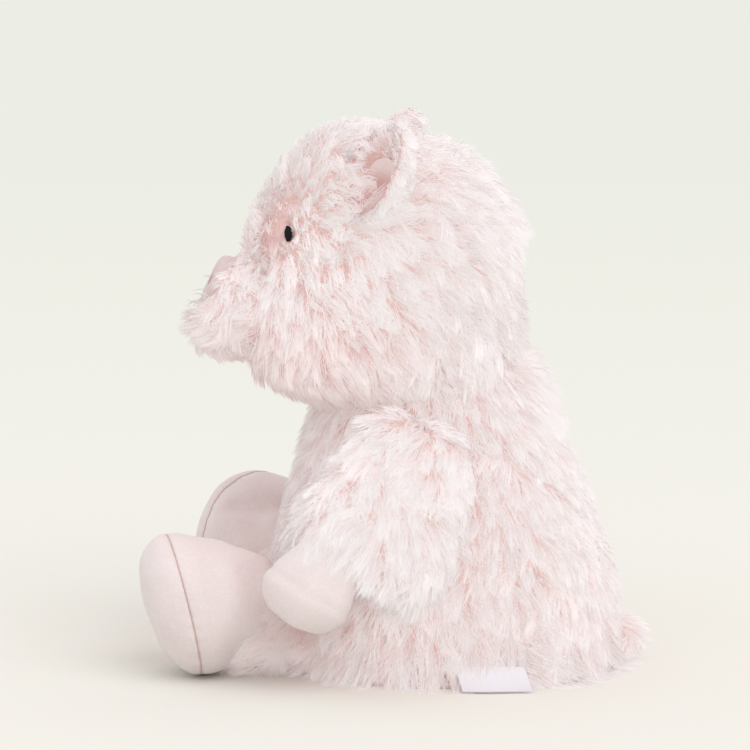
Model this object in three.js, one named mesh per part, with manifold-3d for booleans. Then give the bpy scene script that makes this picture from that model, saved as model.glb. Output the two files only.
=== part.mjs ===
// A sitting plush pig, about 330 mm tall, that is warmed for use: long-pile fur panels sewn
// over fibre filling, a cotton pouch of grain in the belly, and smooth short-pile hands, feet,
// snout disc and ear linings. Millimetres. +Z is up, the pig faces -Y, its left side is +X.
// The origin is the middle of the flat base that it sits on.
//
// Each soft piece is drawn at the outside of its pile, and a fur panel is as thick as its pile.
// Head, arms, legs, ears, tail and label each turn about the seam that holds them. What turns
// is cut back by what it turns against, over the whole of its travel.

import * as THREE from "three";
import { mergeVertices } from "three/addons/utils/BufferGeometryUtils.js";
import Module from "manifold-3d";

const wasm = await Module();
wasm.setup();

const { Vector2, Vector3, Matrix4 } = THREE;
const ACROSS = new Vector3(1, 0, 0);
const UP = new Vector3(0, 0, 1);
const FRONT = new Vector3(0, -1, 0);
const LEFT = 1;
const RIGHT = -1;

// Driving sizes: what all pieces share
const clearance = 0.3;          // between two pieces that touch
const panelPile = 12;           // fur panel: backing cloth and pile
const overrun = 40;             // how far a cutter runs past what it cuts

// Driving sizes: body
const bodyWidth = 208;
const bodyDepth = 208;
const bodyHeight = 194;         // from the floor to the top of the neck dome
const bodySink = 20;            // the round underside that the flat base cuts away
const bodyLean = 9;             // the neck lies this far in front of the seat's middle
const basePile = 5;
const pouchWidth = 126;
const pouchDepth = 118;
const pouchHeight = 84;

// Driving sizes: head
const headWidth = 170;
const headDepth = 166;
const headHeight = 168;
const chinHeight = 144;         // floor to the lowest point of the head's form
const headForward = 40;         // the head's middle lies this far in front of the seat's
const muzzleWidth = 96;
const muzzleHeight = 70;
const muzzleReach = 32;         // how far the muzzle stands out of the face
const snoutWidth = 42;
const snoutHeight = 36;
const snoutThickness = 14;
const snoutTilt = 25;           // degrees that the disc looks up
const nostrilWidth = 5;
const nostrilHeight = 8;
const nostrilSpacing = 16;
const stitchThickness = 1.6;
const eyeWidth = 9;
const eyeHeight = 11;
const eyeSink = 10;             // the pile is trimmed this deep round the eye
const eyeSocket = 26;           // diameter of the trimmed hollow

// Driving sizes: ears
const earLength = 62;
const earBreadth = 54;
const earThickness = 30;
const earCup = 13;              // how far the hollow lies in front of the ear's back
const earTurn = 42;             // degrees that the hollow looks outward from straight ahead
const earTilt = 28;             // degrees that the ear leans back
const liningThickness = 2.4;

// Driving sizes: arms
const leftLean = 29;            // degrees that each arm hangs forward of straight down
const rightLean = 6;
const sleeveLength = 122;
const sleeveWidth = 54;
const sleeveDepth = 95;
const handLength = 66;
const handWidth = 36;
const handDepth = 52;

// Driving sizes: legs
const legLength = 91;
const legWidth = 62;
const legHeight = 60;
const footLength = 76;
const footWidth = 80;
const footHeight = 82;
const leftSplay = 9;            // degrees that each leg turns outward
const rightSplay = 50;
const leftRaise = 0;            // degrees that each foot points up
const rightRaise = 5;
const footLift = 0.6;           // under foot and tail, so that the flat base carries the weight

// Driving sizes: tail and label
const tailLength = 34;
const tailWidth = 38;
const labelLength = 40;
const labelDrop = 16;
const labelThickness = 0.6;

// Travel of each seam in degrees, and how many steps of it a neighbour is cut at
const neckTravel = { low: -12, high: 12, steps: 2 };
const armTravel = { low: 0, high: 55, steps: 4 };
const legTravel = { low: -8, high: 25, steps: 12 };
const earTravel = { low: -15, high: 30, steps: 3 };
const tailTravel = { low: -20, high: 20, steps: 2 };
const labelTravel = { low: 0, high: 45, steps: 1 };

// Colours and finish
const furFinish = { color: 0xeed9d6, roughness: 0.9, metalness: 0 };
const smoothFinish = { color: 0xe6cfcc, roughness: 0.75, metalness: 0 };
const threadFinish = { color: 0x17141a, roughness: 0.55, metalness: 0 };
const nostrilFinish = { color: 0xc79a96, roughness: 0.6, metalness: 0 };
const fibreFinish = { color: 0xf3f1ec, roughness: 0.95, metalness: 0 };
const cottonFinish = { color: 0xd8ceba, roughness: 0.9, metalness: 0 };
const labelFinish = { color: 0xf2eff0, roughness: 0.6, metalness: 0 };

// Outlines that several pieces share, from one end to the other: radius share, length share
const roundShares = [[0, 0], [0.6, 0.1], [0.92, 0.3], [1, 0.5], [0.92, 0.7], [0.6, 0.9], [0, 1]];
const bluntShares = [[0, 0], [0.8, 0.05], [0.97, 0.2], [1, 0.5], [0.97, 0.8], [0.8, 0.95], [0, 1]];
const evenShares = [1, 1, 1];
const placingShare = 1e-4;      // how closely a place on an outline is found

// A soft form: an outline of radius against length, carried along a spine and stretched across
// it to a width and a depth. The width lies along `across` and the depth square to it, and
// fullShares widen or narrow the form evenly from its first end to its last.
function softForm({ spine, width, depth, shares, across = ACROSS, fullShares = evenShares, rings, sides }) {
  const path = new THREE.CatmullRomCurve3(spine);
  const outline = new THREE.SplineCurve(shares.map(([radius, along]) => new Vector2(radius, along)));
  const fullness = new THREE.SplineCurve(
    fullShares.map((share, index) => new Vector2(index / (fullShares.length - 1), share)),
  );
  const at = (outlineShare, turnShare) => {
    const profile = outline.getPoint(outlineShare);
    const along = THREE.MathUtils.clamp(profile.y, 0, 1);
    const axis = path.getTangentAt(along);
    const side = across.clone().addScaledVector(axis, -across.dot(axis)).normalize();
    const rise = new Vector3().crossVectors(axis, side);
    const radius = Math.max(profile.x, 0) / 2;
    const turn = 2 * Math.PI * turnShare;
    return path.getPointAt(along)
      .addScaledVector(side, width * radius * Math.cos(turn) * fullness.getPoint(along).y)
      .addScaledVector(rise, depth * radius * Math.sin(turn));
  };
  const points = [at(0, 0)];
  for (let ring = 1; ring < rings; ring += 1) {
    const outlineShare = outline.getUtoTmapping(ring / rings);
    for (let side = 0; side < sides; side += 1) points.push(at(outlineShare, side / sides));
  }
  points.push(at(1, 0));
  const corner = (ring, side) => 1 + (ring - 1) * sides + (side % sides);
  const faces = [];
  for (let side = 0; side < sides; side += 1) {
    faces.push(0, corner(1, side + 1), corner(1, side));
    faces.push(points.length - 1, corner(rings - 1, side), corner(rings - 1, side + 1));
    for (let ring = 1; ring < rings - 1; ring += 1) {
      faces.push(corner(ring, side), corner(ring, side + 1), corner(ring + 1, side + 1));
      faces.push(corner(ring, side), corner(ring + 1, side + 1), corner(ring + 1, side));
    }
  }
  const geometry = new THREE.BufferGeometry().setFromPoints(points);
  geometry.setIndex(faces);
  // The place on the surface at a share of the length and of the way round.
  const on = (lengthShare, turnShare) => {
    let low = 0;
    let high = 1;
    while (high - low > placingShare) {
      const middle = (low + high) / 2;
      if (outline.getPoint(middle).y < lengthShare) low = middle;
      else high = middle;
    }
    return at(low, turnShare);
  };
  return { geometry: facingOut(geometry), on };
}

// The volume under a geometry's triangles, six times over, negative when they face inward.
function signedVolume(geometry) {
  const { position } = geometry.attributes;
  const corners = [0, 1, 2].map(() => new Vector3());
  let volume = 0;
  for (let start = 0; start < geometry.index.count; start += 3) {
    corners.forEach((corner, step) => {
      corner.fromBufferAttribute(position, geometry.index.getX(start + step));
    });
    volume += corners[0].dot(corners[1].clone().cross(corners[2]));
  }
  return volume;
}

function facingOut(geometry) {
  if (signedVolume(geometry) > 0) return geometry;
  const order = geometry.index.array;
  for (let start = 0; start < order.length; start += 3) {
    const first = order[start];
    order[start] = order[start + 1];
    order[start + 1] = first;
  }
  return geometry;
}

// The same form with its surface moved out by a distance, or in by a negative one.
function grown(geometry, distance) {
  const copy = geometry.clone();
  copy.computeVertexNormals();
  const { position, normal } = copy.attributes;
  const point = new Vector3();
  const push = new Vector3();
  for (let index = 0; index < position.count; index += 1) {
    point.fromBufferAttribute(position, index);
    push.fromBufferAttribute(normal, index);
    point.addScaledVector(push, distance);
    position.setXYZ(index, point.x, point.y, point.z);
  }
  copy.deleteAttribute("normal");
  return copy;
}

function solid(geometry) {
  const bare = geometry.clone();
  for (const name of Object.keys(bare.attributes)) {
    if (name !== "position") bare.deleteAttribute(name);
  }
  const merged = mergeVertices(bare);
  return new wasm.Manifold(new wasm.Mesh({
    numProp: 3,
    vertProperties: new Float32Array(merged.attributes.position.array),
    triVerts: new Uint32Array(merged.index.array),
  }));
}

// What is left of a form without its cutters, and without any crumb that they part from it.
function cutBack(form, cutters) {
  const rest = cutters.reduce((left, cutter) => left.subtract(cutter), form);
  return rest.decompose().reduce((main, part) => (part.volume() > main.volume() ? part : main));
}

// A seam that a piece turns about, and the matrix that turns a shape about it.
function seam(point, axis) {
  return { point, axis: axis.clone().normalize() };
}

function turnAbout({ point, axis }, degrees) {
  const { x, y, z } = point;
  return new Matrix4().makeTranslation(x, y, z)
    .multiply(new Matrix4().makeRotationAxis(axis, THREE.MathUtils.degToRad(degrees)))
    .multiply(new Matrix4().makeTranslation(-x, -y, -z));
}

// A shape at every step of a seam's travel, turned the given way about the seam.
function turnedThrough(geometry, joint, { low, high, steps }, way) {
  return Array.from({ length: steps + 1 }, (_, step) => {
    const degrees = low + (high - low) * step / steps;
    return geometry.clone().applyMatrix4(turnAbout(joint, way * degrees));
  });
}

// What a turning piece has to stay clear of: its neighbour, as the piece meets it on its way.
function metOnTheWay(neighbour, joint, travel) {
  const shape = grown(neighbour, clearance);
  return [shape, ...turnedThrough(shape, joint, travel, -1)].map((copy) => solid(copy));
}

// A block with one face on a plane, for cutting or keeping all that lies beyond that face.
function beyond(point, outward) {
  const reach = 2 * (bodyHeight + headHeight + overrun);
  const block = new THREE.BoxGeometry(reach, reach, reach).translate(0, 0, reach / 2);
  const turn = new THREE.Quaternion().setFromUnitVectors(UP, outward.clone().normalize());
  return solid(block.applyQuaternion(turn).translate(point.x, point.y, point.z));
}

// Cuts a shell in two at an upright plane across the pig, with a clearance between the halves.
function atSideSeam(shell, seamPlace) {
  const behind = new Vector3(0, seamPlace + clearance / 2, 0);
  const before = new Vector3(0, seamPlace - clearance / 2, 0);
  return {
    back: shell.intersect(beyond(behind, FRONT.clone().negate())),
    front: shell.intersect(beyond(before, FRONT)),
  };
}

const pig = new THREE.Group();
const bodyGroup = new THREE.Group();
pig.add(bodyGroup);

// A group whose origin is the seam that its pieces turn about.
function turningGroup(parent, joint, travel) {
  const group = new THREE.Group();
  const home = parent.userData.seamPoint ?? new Vector3();
  group.userData.seamPoint = joint.point;
  group.userData.travel = { axis: joint.axis, ...travel };
  group.position.copy(joint.point).sub(home);
  parent.add(group);
  return group;
}

// Puts a finished solid into the group of the body that carries it.
function addPiece(group, name, shape, finish) {
  const { vertProperties, triVerts } = shape.getMesh();
  const geometry = new THREE.BufferGeometry();
  geometry.setAttribute("position", new THREE.BufferAttribute(new Float32Array(vertProperties), 3));
  geometry.setIndex(new THREE.BufferAttribute(new Uint32Array(triVerts), 1));
  const home = group.userData.seamPoint ?? new Vector3();
  geometry.translate(-home.x, -home.y, -home.z);
  geometry.computeVertexNormals();
  const mesh = new THREE.Mesh(geometry, new THREE.MeshStandardMaterial(finish));
  mesh.name = name;
  group.add(mesh);
}

// Body: two fur panels on a flat base, filled with fibre round a pouch of grain
const bodyShares = [
  [0, 0], [0.77, 0.035], [0.96, 0.095], [1, 0.2], [0.99, 0.3], [0.94, 0.42],
  [0.86, 0.55], [0.79, 0.65], [0.69, 0.79], [0.56, 0.91], [0.33, 0.975], [0, 1],
];
const waistShare = 0.33;        // where the lean of the body ends, as a share of its height
const pouchSinkShare = 0.33;    // how much of the pouch's form the base cuts away

const bodyForm = softForm({
  spine: [
    new Vector3(0, 0, -bodySink),
    new Vector3(0, 0, bodyHeight * waistShare),
    new Vector3(0, -bodyLean, bodyHeight),
  ],
  width: bodyWidth,
  depth: bodyDepth,
  shares: bodyShares,
  rings: 12,
  sides: 20,
});

function makeBody() {
  const standing = solid(bodyForm.geometry).subtract(beyond(new Vector3(), UP.clone().negate()));
  const overBase = beyond(new Vector3(0, 0, basePile + clearance), UP);
  const filling = grown(bodyForm.geometry, -panelPile);
  const shell = standing.subtract(solid(filling)).intersect(overBase);
  const { back, front } = atSideSeam(shell, 0);
  addPiece(bodyGroup, "body_back_panel", back, furFinish);
  addPiece(bodyGroup, "body_belly_panel", front, furFinish);
  addPiece(bodyGroup, "base_panel", standing.subtract(beyond(new Vector3(0, 0, basePile), UP)), furFinish);

  const pouch = softForm({
    spine: [new Vector3(0, 0, -pouchHeight * pouchSinkShare), new Vector3(0, 0, pouchHeight)],
    width: pouchWidth,
    depth: pouchDepth,
    shares: roundShares,
    rings: 8,
    sides: 18,
  }).geometry;
  const stuffing = solid(grown(bodyForm.geometry, -panelPile - clearance)).intersect(overBase);
  addPiece(bodyGroup, "body_stuffing", stuffing.subtract(solid(grown(pouch, clearance))), fibreFinish);
  addPiece(bodyGroup, "grain_pouch", solid(pouch).intersect(overBase), cottonFinish);
}

// Head: a face panel and a back panel round their filling, nodding on the neck seam
const headShares = [
  [0, 0], [0.45, 0.035], [0.72, 0.09], [0.92, 0.17], [0.98, 0.28], [1, 0.42],
  [0.99, 0.55], [0.91, 0.7], [0.76, 0.835], [0.44, 0.955], [0, 1],
];
const cheekShares = [0.98, 1.1, 1.06, 1, 0.94, 0.88];
const headSpineShares = [[1, 0], [0.97, 0.2], [0.88, 0.5], [0.66, 0.78], [0.3, 1]];
const neckShare = 0.8;          // the neck seam's height as a share of the body's
const earSeamShare = 0.8;       // the ear seam's place as a share of headForward

const headForm = softForm({
  spine: headSpineShares.map(
    ([forward, up]) => new Vector3(0, -headForward * forward, chinHeight + headHeight * up),
  ),
  width: headWidth,
  depth: headDepth,
  shares: headShares,
  fullShares: cheekShares,
  rings: 12,
  sides: 20,
});
const neck = seam(new Vector3(0, -bodyLean, bodyHeight * neckShare), ACROSS);
const headGroup = turningGroup(bodyGroup, neck, neckTravel);
const noddingHead = turnedThrough(headForm.geometry, neck, neckTravel, 1);

function makeHead() {
  const metBody = metOnTheWay(bodyForm.geometry, neck, neckTravel);
  const eyes = [makeEye(LEFT), makeEye(RIGHT)];
  const eyeRoom = eyes.flatMap(({ form, hollow }) => [solid(grown(form, clearance)), solid(hollow)]);
  const trimmed = cutBack(solid(headForm.geometry), [...metBody, ...eyeRoom]);
  const shell = trimmed.subtract(solid(grown(headForm.geometry, -panelPile)));
  const { back, front } = atSideSeam(shell, -headForward * earSeamShare);
  addPiece(headGroup, "head_back_panel", back, furFinish);
  addPiece(headGroup, "head_face_panel", front, furFinish);
  const stuffing = solid(grown(headForm.geometry, -panelPile - clearance));
  addPiece(headGroup, "head_stuffing", cutBack(stuffing, metBody), fibreFinish);
  eyes.forEach(({ name, form }) => addPiece(headGroup, name, solid(form), threadFinish));
}

// Eye: an oval pad of satin stitch, in a hollow where the pile is trimmed
const eyeUpShare = 0.585;
const eyeTurnShare = 0.145;     // from straight sideways towards the face, of a full turn

function makeEye(side) {
  const place = headForm.on(eyeUpShare, side === LEFT ? 1 - eyeTurnShare : 0.5 + eyeTurnShare);
  const outward = place.clone().sub(new Vector3(0, -headForward, place.z)).normalize();
  const middle = place.clone().addScaledVector(outward, -eyeSink);
  const back = middle.clone().addScaledVector(outward, -stitchThickness / 2);
  const face = middle.clone().addScaledVector(outward, stitchThickness / 2);
  const hollowMiddle = back.clone().addScaledVector(outward, eyeSocket / 2);
  const form = softForm({
    spine: [back, face],
    width: eyeHeight,
    depth: eyeWidth,
    across: UP,
    shares: bluntShares,
    rings: 6,
    sides: 12,
  }).geometry;
  const hollow = new THREE.SphereGeometry(eyeSocket / 2, 10, 7)
    .translate(hollowMiddle.x, hollowMiddle.y, hollowMiddle.z);
  return { name: side === LEFT ? "left_eye" : "right_eye", form, hollow };
}

// Muzzle: a short fur trunk, with a smooth padded disc that looks up and two nostrils on it
const muzzleShares = [[0, 0], [0.9, 0.06], [1, 0.4], [0.96, 0.66], [0.82, 0.85], [0.5, 0.97], [0, 1]];
const faceUpShare = 0.38;
const muzzleDropShare = 0.12;   // how far its tip hangs below its root, of its own height
const discBackShare = 0.92;     // where the disc's back lies behind the tip, of muzzleReach
const discUpShare = 0.14;       // and above it, of the muzzle's height
const discSeatShare = 0.55;     // how much of the disc's thickness lies in the muzzle's fur
const nostrilUpShare = 0.06;

function makeMuzzle() {
  const faceFront = headForm.on(faceUpShare, 0.75);
  const root = new Vector3(0, -headForward, faceFront.z);
  const tip = new Vector3(0, faceFront.y - muzzleReach, faceFront.z - muzzleHeight * muzzleDropShare);
  const trunk = softForm({
    spine: [root, tip],
    width: muzzleWidth,
    depth: muzzleHeight,
    shares: muzzleShares,
    rings: 10,
    sides: 20,
  }).geometry;
  const facing = new Vector3(0, -1, Math.tan(THREE.MathUtils.degToRad(snoutTilt))).normalize();
  const discBack = tip.clone().add(new Vector3(0, muzzleReach * discBackShare, muzzleHeight * discUpShare));
  const discFront = discBack.clone().addScaledVector(facing, snoutThickness);
  const padBetween = (start, end, rings) => softForm({
    spine: [start, end],
    width: snoutWidth,
    depth: snoutHeight,
    shares: bluntShares,
    rings,
    sides: 18,
  }).geometry;
  const disc = padBetween(discBack, discFront, 8);
  const discWay = padBetween(discBack, discFront.clone().addScaledVector(facing, overrun), 6);
  const headRoom = solid(grown(headForm.geometry, clearance));
  const discRoom = [headRoom, solid(grown(disc, clearance)), solid(grown(discWay, clearance))];
  const overSeat = beyond(discBack.clone().lerp(discFront, discSeatShare), facing);
  addPiece(headGroup, "muzzle", cutBack(solid(trunk), [...discRoom, overSeat]), furFinish);

  let pad = solid(disc).subtract(headRoom);
  for (const side of [LEFT, RIGHT]) {
    const middle = discFront.clone()
      .add(new Vector3(side * nostrilSpacing / 2, 0, snoutHeight * nostrilUpShare));
    const nostril = softForm({
      spine: [
        middle.clone().addScaledVector(facing, -stitchThickness),
        middle.clone().addScaledVector(facing, stitchThickness / 4),
      ],
      width: nostrilWidth,
      depth: nostrilHeight,
      shares: bluntShares,
      rings: 5,
      sides: 10,
    }).geometry;
    pad = pad.subtract(solid(grown(nostril, clearance)));
    addPiece(headGroup, side === LEFT ? "left_nostril" : "right_nostril", solid(nostril), nostrilFinish);
  }
  addPiece(headGroup, "snout_disc", pad, smoothFinish);
}

// Ears: a fur cup sewn into the seam of the head, lined with smooth cloth
const earShares = [[0, 0], [0.66, 0.06], [0.98, 0.26], [0.96, 0.44], [0.72, 0.7], [0.44, 0.9], [0, 1]];
const hollowShares = [[0, 0], [0.6, 0.05], [0.95, 0.25], [1, 0.42], [0.75, 0.7], [0.42, 0.92], [0, 1]];
const earUpShare = 0.82;
const earTurnShare = 0.03;      // the ear's root lies this much of a turn in front of sideways
const earTipShare = 0.64;       // how much of the ear stands above its root
const earInShare = 0.07;
const hollowShare = 0.78;       // the hollow's size as a share of the ear's
const hollowFootShare = 0.28;
const hollowTipShare = 0.06;

function makeEar(side) {
  const name = side === LEFT ? "left_ear" : "right_ear";
  const turn = THREE.MathUtils.degToRad(earTurn);
  const tilt = THREE.MathUtils.degToRad(earTilt);
  const breadth = new Vector3(Math.cos(turn), side * Math.sin(turn), 0);
  const rise = new Vector3(0, Math.sin(tilt), Math.cos(tilt));
  const facing = new Vector3().crossVectors(breadth, rise).normalize();
  const root = headForm.on(earUpShare, side === LEFT ? 1 - earTurnShare : 0.5 + earTurnShare);
  const inward = new Vector3(-side * earLength * earInShare, 0, 0);
  const tip = root.clone().add(inward).addScaledVector(rise, earLength * earTipShare);
  const foot = root.clone().add(inward).addScaledVector(rise, earLength * (earTipShare - 1));
  const form = softForm({
    spine: [foot, root, tip],
    width: earBreadth,
    depth: earThickness,
    across: breadth,
    shares: earShares,
    rings: 8,
    sides: 16,
  }).geometry;
  const hollow = softForm({
    spine: [
      foot.clone().addScaledVector(facing, earCup).addScaledVector(rise, earLength * hollowFootShare),
      tip.clone().addScaledVector(facing, earCup).addScaledVector(rise, -earLength * hollowTipShare),
    ],
    width: earBreadth * hollowShare,
    depth: earThickness * hollowShare,
    across: breadth,
    shares: hollowShares,
    rings: 7,
    sides: 14,
  }).geometry;
  const joint = seam(root, breadth);
  const group = turningGroup(headGroup, joint, earTravel);
  const metHead = metOnTheWay(headForm.geometry, joint, earTravel);
  addPiece(group, `${name}_back`, cutBack(solid(form), [...metHead, solid(hollow)]), furFinish);
  const lined = solid(grown(hollow, -clearance)).subtract(solid(grown(hollow, -clearance - liningThickness)));
  const mouth = beyond(root.clone().addScaledVector(facing, earCup), facing);
  const within = solid(grown(form, -liningThickness));
  addPiece(group, `${name}_lining`, cutBack(lined.intersect(within), [...metHead, mouth]), smoothFinish);
}

// Legs: a fur leg lying forward from the hip seam, with a bell-shaped smooth foot and its sole
const legShares = [[0, 0], [0.75, 0.08], [0.95, 0.3], [1, 0.6], [0.9, 0.88], [0.6, 0.98], [0, 1]];
const footShares = [
  [0, 0], [0.5, 0.02], [0.68, 0.14], [0.85, 0.34], [0.96, 0.52], [1, 0.66],
  [0.94, 0.82], [0.68, 0.95], [0.32, 0.992], [0, 1],
];
const hipOutShare = 0.205;      // the hip's place as shares of the body's width and depth
const hipForwardShare = 0.225;
const legBehindShare = 0.2;     // how much of the leg lies behind the hip seam
const footOverlapShare = 0.3;   // how much of the foot's length reaches up the leg
const soleShare = 0.66;         // how much of the foot's length lies behind the sole's seam

// The leg's and foot's forms and the hip seam, for the leg itself and for what it must clear.
function legForms(side) {
  const turn = THREE.MathUtils.degToRad(side === LEFT ? leftSplay : rightSplay);
  const raise = THREE.MathUtils.degToRad(side === LEFT ? leftRaise : rightRaise);
  const heading = new Vector3(side * Math.sin(turn), -Math.cos(turn), Math.tan(raise)).normalize();
  const across = new Vector3(Math.cos(turn), side * Math.sin(turn), 0);
  const hipHeight = legHeight / 2 + footLift;
  const hip = new Vector3(side * bodyWidth * hipOutShare, -bodyDepth * hipForwardShare, hipHeight);
  const ankle = hip.clone().addScaledVector(heading, legLength * (1 - legBehindShare));
  const leg = softForm({
    spine: [hip.clone().addScaledVector(heading, -legLength * legBehindShare), ankle],
    width: legWidth,
    depth: legHeight,
    across,
    shares: legShares,
    rings: 9,
    sides: 16,
  }).geometry;
  const heel = ankle.clone().addScaledVector(heading, -footLength * footOverlapShare);
  heel.z = footHeight / 2 + footLift;
  const toe = heel.clone().addScaledVector(heading, footLength);
  const foot = softForm({
    spine: [heel, toe],
    width: footWidth,
    depth: footHeight,
    across,
    shares: footShares,
    rings: 11,
    sides: 18,
  }).geometry;
  return { leg, foot, heading, soleSeam: heel.lerp(toe, soleShare), hipSeam: seam(hip, across.negate()) };
}

function makeLeg(side) {
  const name = side === LEFT ? "left" : "right";
  const { leg, foot, heading, soleSeam, hipSeam } = legForms(side);
  const group = turningGroup(bodyGroup, hipSeam, legTravel);
  const metBody = metOnTheWay(bodyForm.geometry, hipSeam, legTravel);
  const underFloor = beyond(new Vector3(0, 0, footLift), UP.clone().negate());
  const footRoom = solid(grown(foot, clearance));
  addPiece(group, `${name}_leg`, cutBack(solid(leg), [...metBody, footRoom, underFloor]), furFinish);
  const footSolid = cutBack(solid(foot), [...metBody, underFloor]);
  const overSeam = soleSeam.clone().addScaledVector(heading, clearance);
  addPiece(group, `${name}_foot_upper`, footSolid.subtract(beyond(soleSeam, heading)), smoothFinish);
  addPiece(group, `${name}_foot_sole`, footSolid.intersect(beyond(overSeam, heading)), smoothFinish);
}

// Arms: a fur sleeve hanging from the shoulder seam, with a smooth mitt for a hand
const sleeveShares = [[0, 0], [0.62, 0.08], [0.82, 0.28], [0.95, 0.55], [1, 0.8], [0.8, 0.96], [0, 1]];
const handShares = [[0, 0], [0.62, 0.08], [0.78, 0.3], [0.98, 0.58], [0.97, 0.76], [0.62, 0.95], [0, 1]];
const shoulderOutShare = 0.335; // the shoulder's place as shares of the body's three sizes
const shoulderForwardShare = 0.065;
const shoulderUpShare = 0.74;
const sleeveTopShare = 0.12;    // the sleeve's ends above and below the shoulder seam
const sleeveEndShare = 0.69;
const cuffOutShare = 0.175;     // how far the cuff hangs outside the shoulder, of the body's width
const elbowOutShare = 0.14;
const elbowBackShare = 0.06;
const wristUpShare = 0.38;      // how much of the hand the sleeve hides
const wristForwardShare = 0.19;
const fingersOutShare = 0.1;

function makeArm(side, leanDegrees) {
  const name = side === LEFT ? "left" : "right";
  const lean = THREE.MathUtils.degToRad(leanDegrees);
  const down = new Vector3(0, -Math.sin(lean), -Math.cos(lean));
  const forward = new Vector3(0, -Math.cos(lean), Math.sin(lean));
  const out = new Vector3(side, 0, 0);
  const shoulder = new Vector3(
    side * bodyWidth * shoulderOutShare,
    -bodyDepth * shoulderForwardShare,
    bodyHeight * shoulderUpShare,
  );
  const top = shoulder.clone().addScaledVector(down, -sleeveLength * sleeveTopShare);
  const cuff = shoulder.clone().addScaledVector(down, sleeveLength * sleeveEndShare)
    .addScaledVector(out, bodyWidth * cuffOutShare);
  const elbow = shoulder.clone().lerp(cuff, 0.5).addScaledVector(out, sleeveWidth * elbowOutShare)
    .addScaledVector(forward, -sleeveDepth * elbowBackShare);
  const sleeve = softForm({
    spine: [top, elbow, cuff],
    width: sleeveWidth,
    depth: sleeveDepth,
    shares: sleeveShares,
    rings: 10,
    sides: 16,
  }).geometry;
  const wrist = cuff.clone().addScaledVector(down, -handLength * wristUpShare)
    .addScaledVector(forward, sleeveDepth * wristForwardShare);
  const fingers = wrist.clone().addScaledVector(down, handLength)
    .addScaledVector(out, handWidth * fingersOutShare);
  const hand = softForm({
    spine: [wrist, fingers],
    width: handWidth,
    depth: handDepth,
    shares: handShares,
    rings: 9,
    sides: 16,
  }).geometry;
  const joint = seam(shoulder, new Vector3(0, -side, 0));
  const group = turningGroup(bodyGroup, joint, armTravel);
  const { leg, foot, hipSeam } = legForms(side);
  const metLeg = [leg, foot]
    .flatMap((shape) => turnedThrough(grown(shape, clearance), hipSeam, legTravel, 1));
  const met = [
    ...metOnTheWay(bodyForm.geometry, joint, armTravel),
    ...noddingHead.flatMap((head) => metOnTheWay(head, joint, armTravel)),
    ...metLeg.map((shape) => solid(shape)),
  ];
  const handRoom = solid(grown(hand, clearance));
  addPiece(group, `${name}_arm_sleeve`, cutBack(solid(sleeve), [...met, handRoom]), furFinish);
  addPiece(group, `${name}_hand`, cutBack(solid(hand), met), smoothFinish);
}

// Tail: a short fur tuft on the rump
const tailShares = [[0, 0], [0.8, 0.08], [1, 0.4], [0.8, 0.75], [0.4, 0.95], [0, 1]];
const tailUpShare = 0.14;
const tailInShare = 0.3;        // how much of it lies inside the pile of the rump
const tailOutShare = 0.36;
const tailDropShare = 0.36;

function makeTail() {
  const root = bodyForm.on(tailUpShare, 0.25);
  const form = softForm({
    spine: [
      root.clone().add(new Vector3(0, -tailLength * tailInShare, 0)),
      root,
      root.clone().add(new Vector3(0, tailLength * tailOutShare, -tailLength * tailDropShare)),
    ],
    width: tailWidth,
    depth: tailWidth,
    shares: tailShares,
    rings: 8,
    sides: 14,
  }).geometry;
  const joint = seam(root, UP);
  const group = turningGroup(bodyGroup, joint, tailTravel);
  const metBody = metOnTheWay(bodyForm.geometry, joint, tailTravel);
  const underFloor = beyond(new Vector3(0, 0, footLift), UP.clone().negate());
  addPiece(group, "tail", cutBack(solid(form), [...metBody, underFloor]), furFinish);
}

// Label: a plain woven strip that stands out of the seam at the base's left edge
const labelUpShare = 0.16;
const labelBackShare = 0.047;   // of a turn, from straight sideways towards the back
const labelOutShares = [0.45, 0.55];
const labelDownShares = [0.2, 0.8];

function makeLabel() {
  const root = bodyForm.on(labelUpShare, labelBackShare);
  root.x += 2 * clearance;
  const [bendOut, endOut] = labelOutShares.map((share) => labelDrop * share);
  const [bendDown, endDown] = labelDownShares.map((share) => -labelDrop * share);
  const strip = new THREE.Shape();
  strip.moveTo(0, 0);
  strip.quadraticCurveTo(bendOut, bendDown, endOut, endDown);
  strip.lineTo(endOut + labelThickness, endDown);
  strip.quadraticCurveTo(bendOut + labelThickness, bendDown + labelThickness, 0, labelThickness);
  strip.closePath();
  const cloth = new THREE.ExtrudeGeometry(strip, {
    depth: labelLength,
    bevelEnabled: false,
    curveSegments: 6,
  });
  cloth.rotateX(Math.PI / 2).translate(root.x, root.y + labelLength / 2, root.z);
  const joint = seam(root, FRONT);
  const group = turningGroup(bodyGroup, joint, labelTravel);
  const met = metOnTheWay(bodyForm.geometry, joint, labelTravel);
  addPiece(group, "label", cutBack(solid(cloth), met), labelFinish);
}

makeBody();
makeHead();
makeMuzzle();
makeEar(LEFT);
makeEar(RIGHT);
makeArm(LEFT, leftLean);
makeArm(RIGHT, rightLean);
makeLeg(LEFT);
makeLeg(RIGHT);
makeTail();
makeLabel();

export default pig;
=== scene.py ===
import math

import bpy
import numpy as np
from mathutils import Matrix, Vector
from mathutils.bvhtree import BVHTree
from mathutils.kdtree import KDTree


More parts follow.
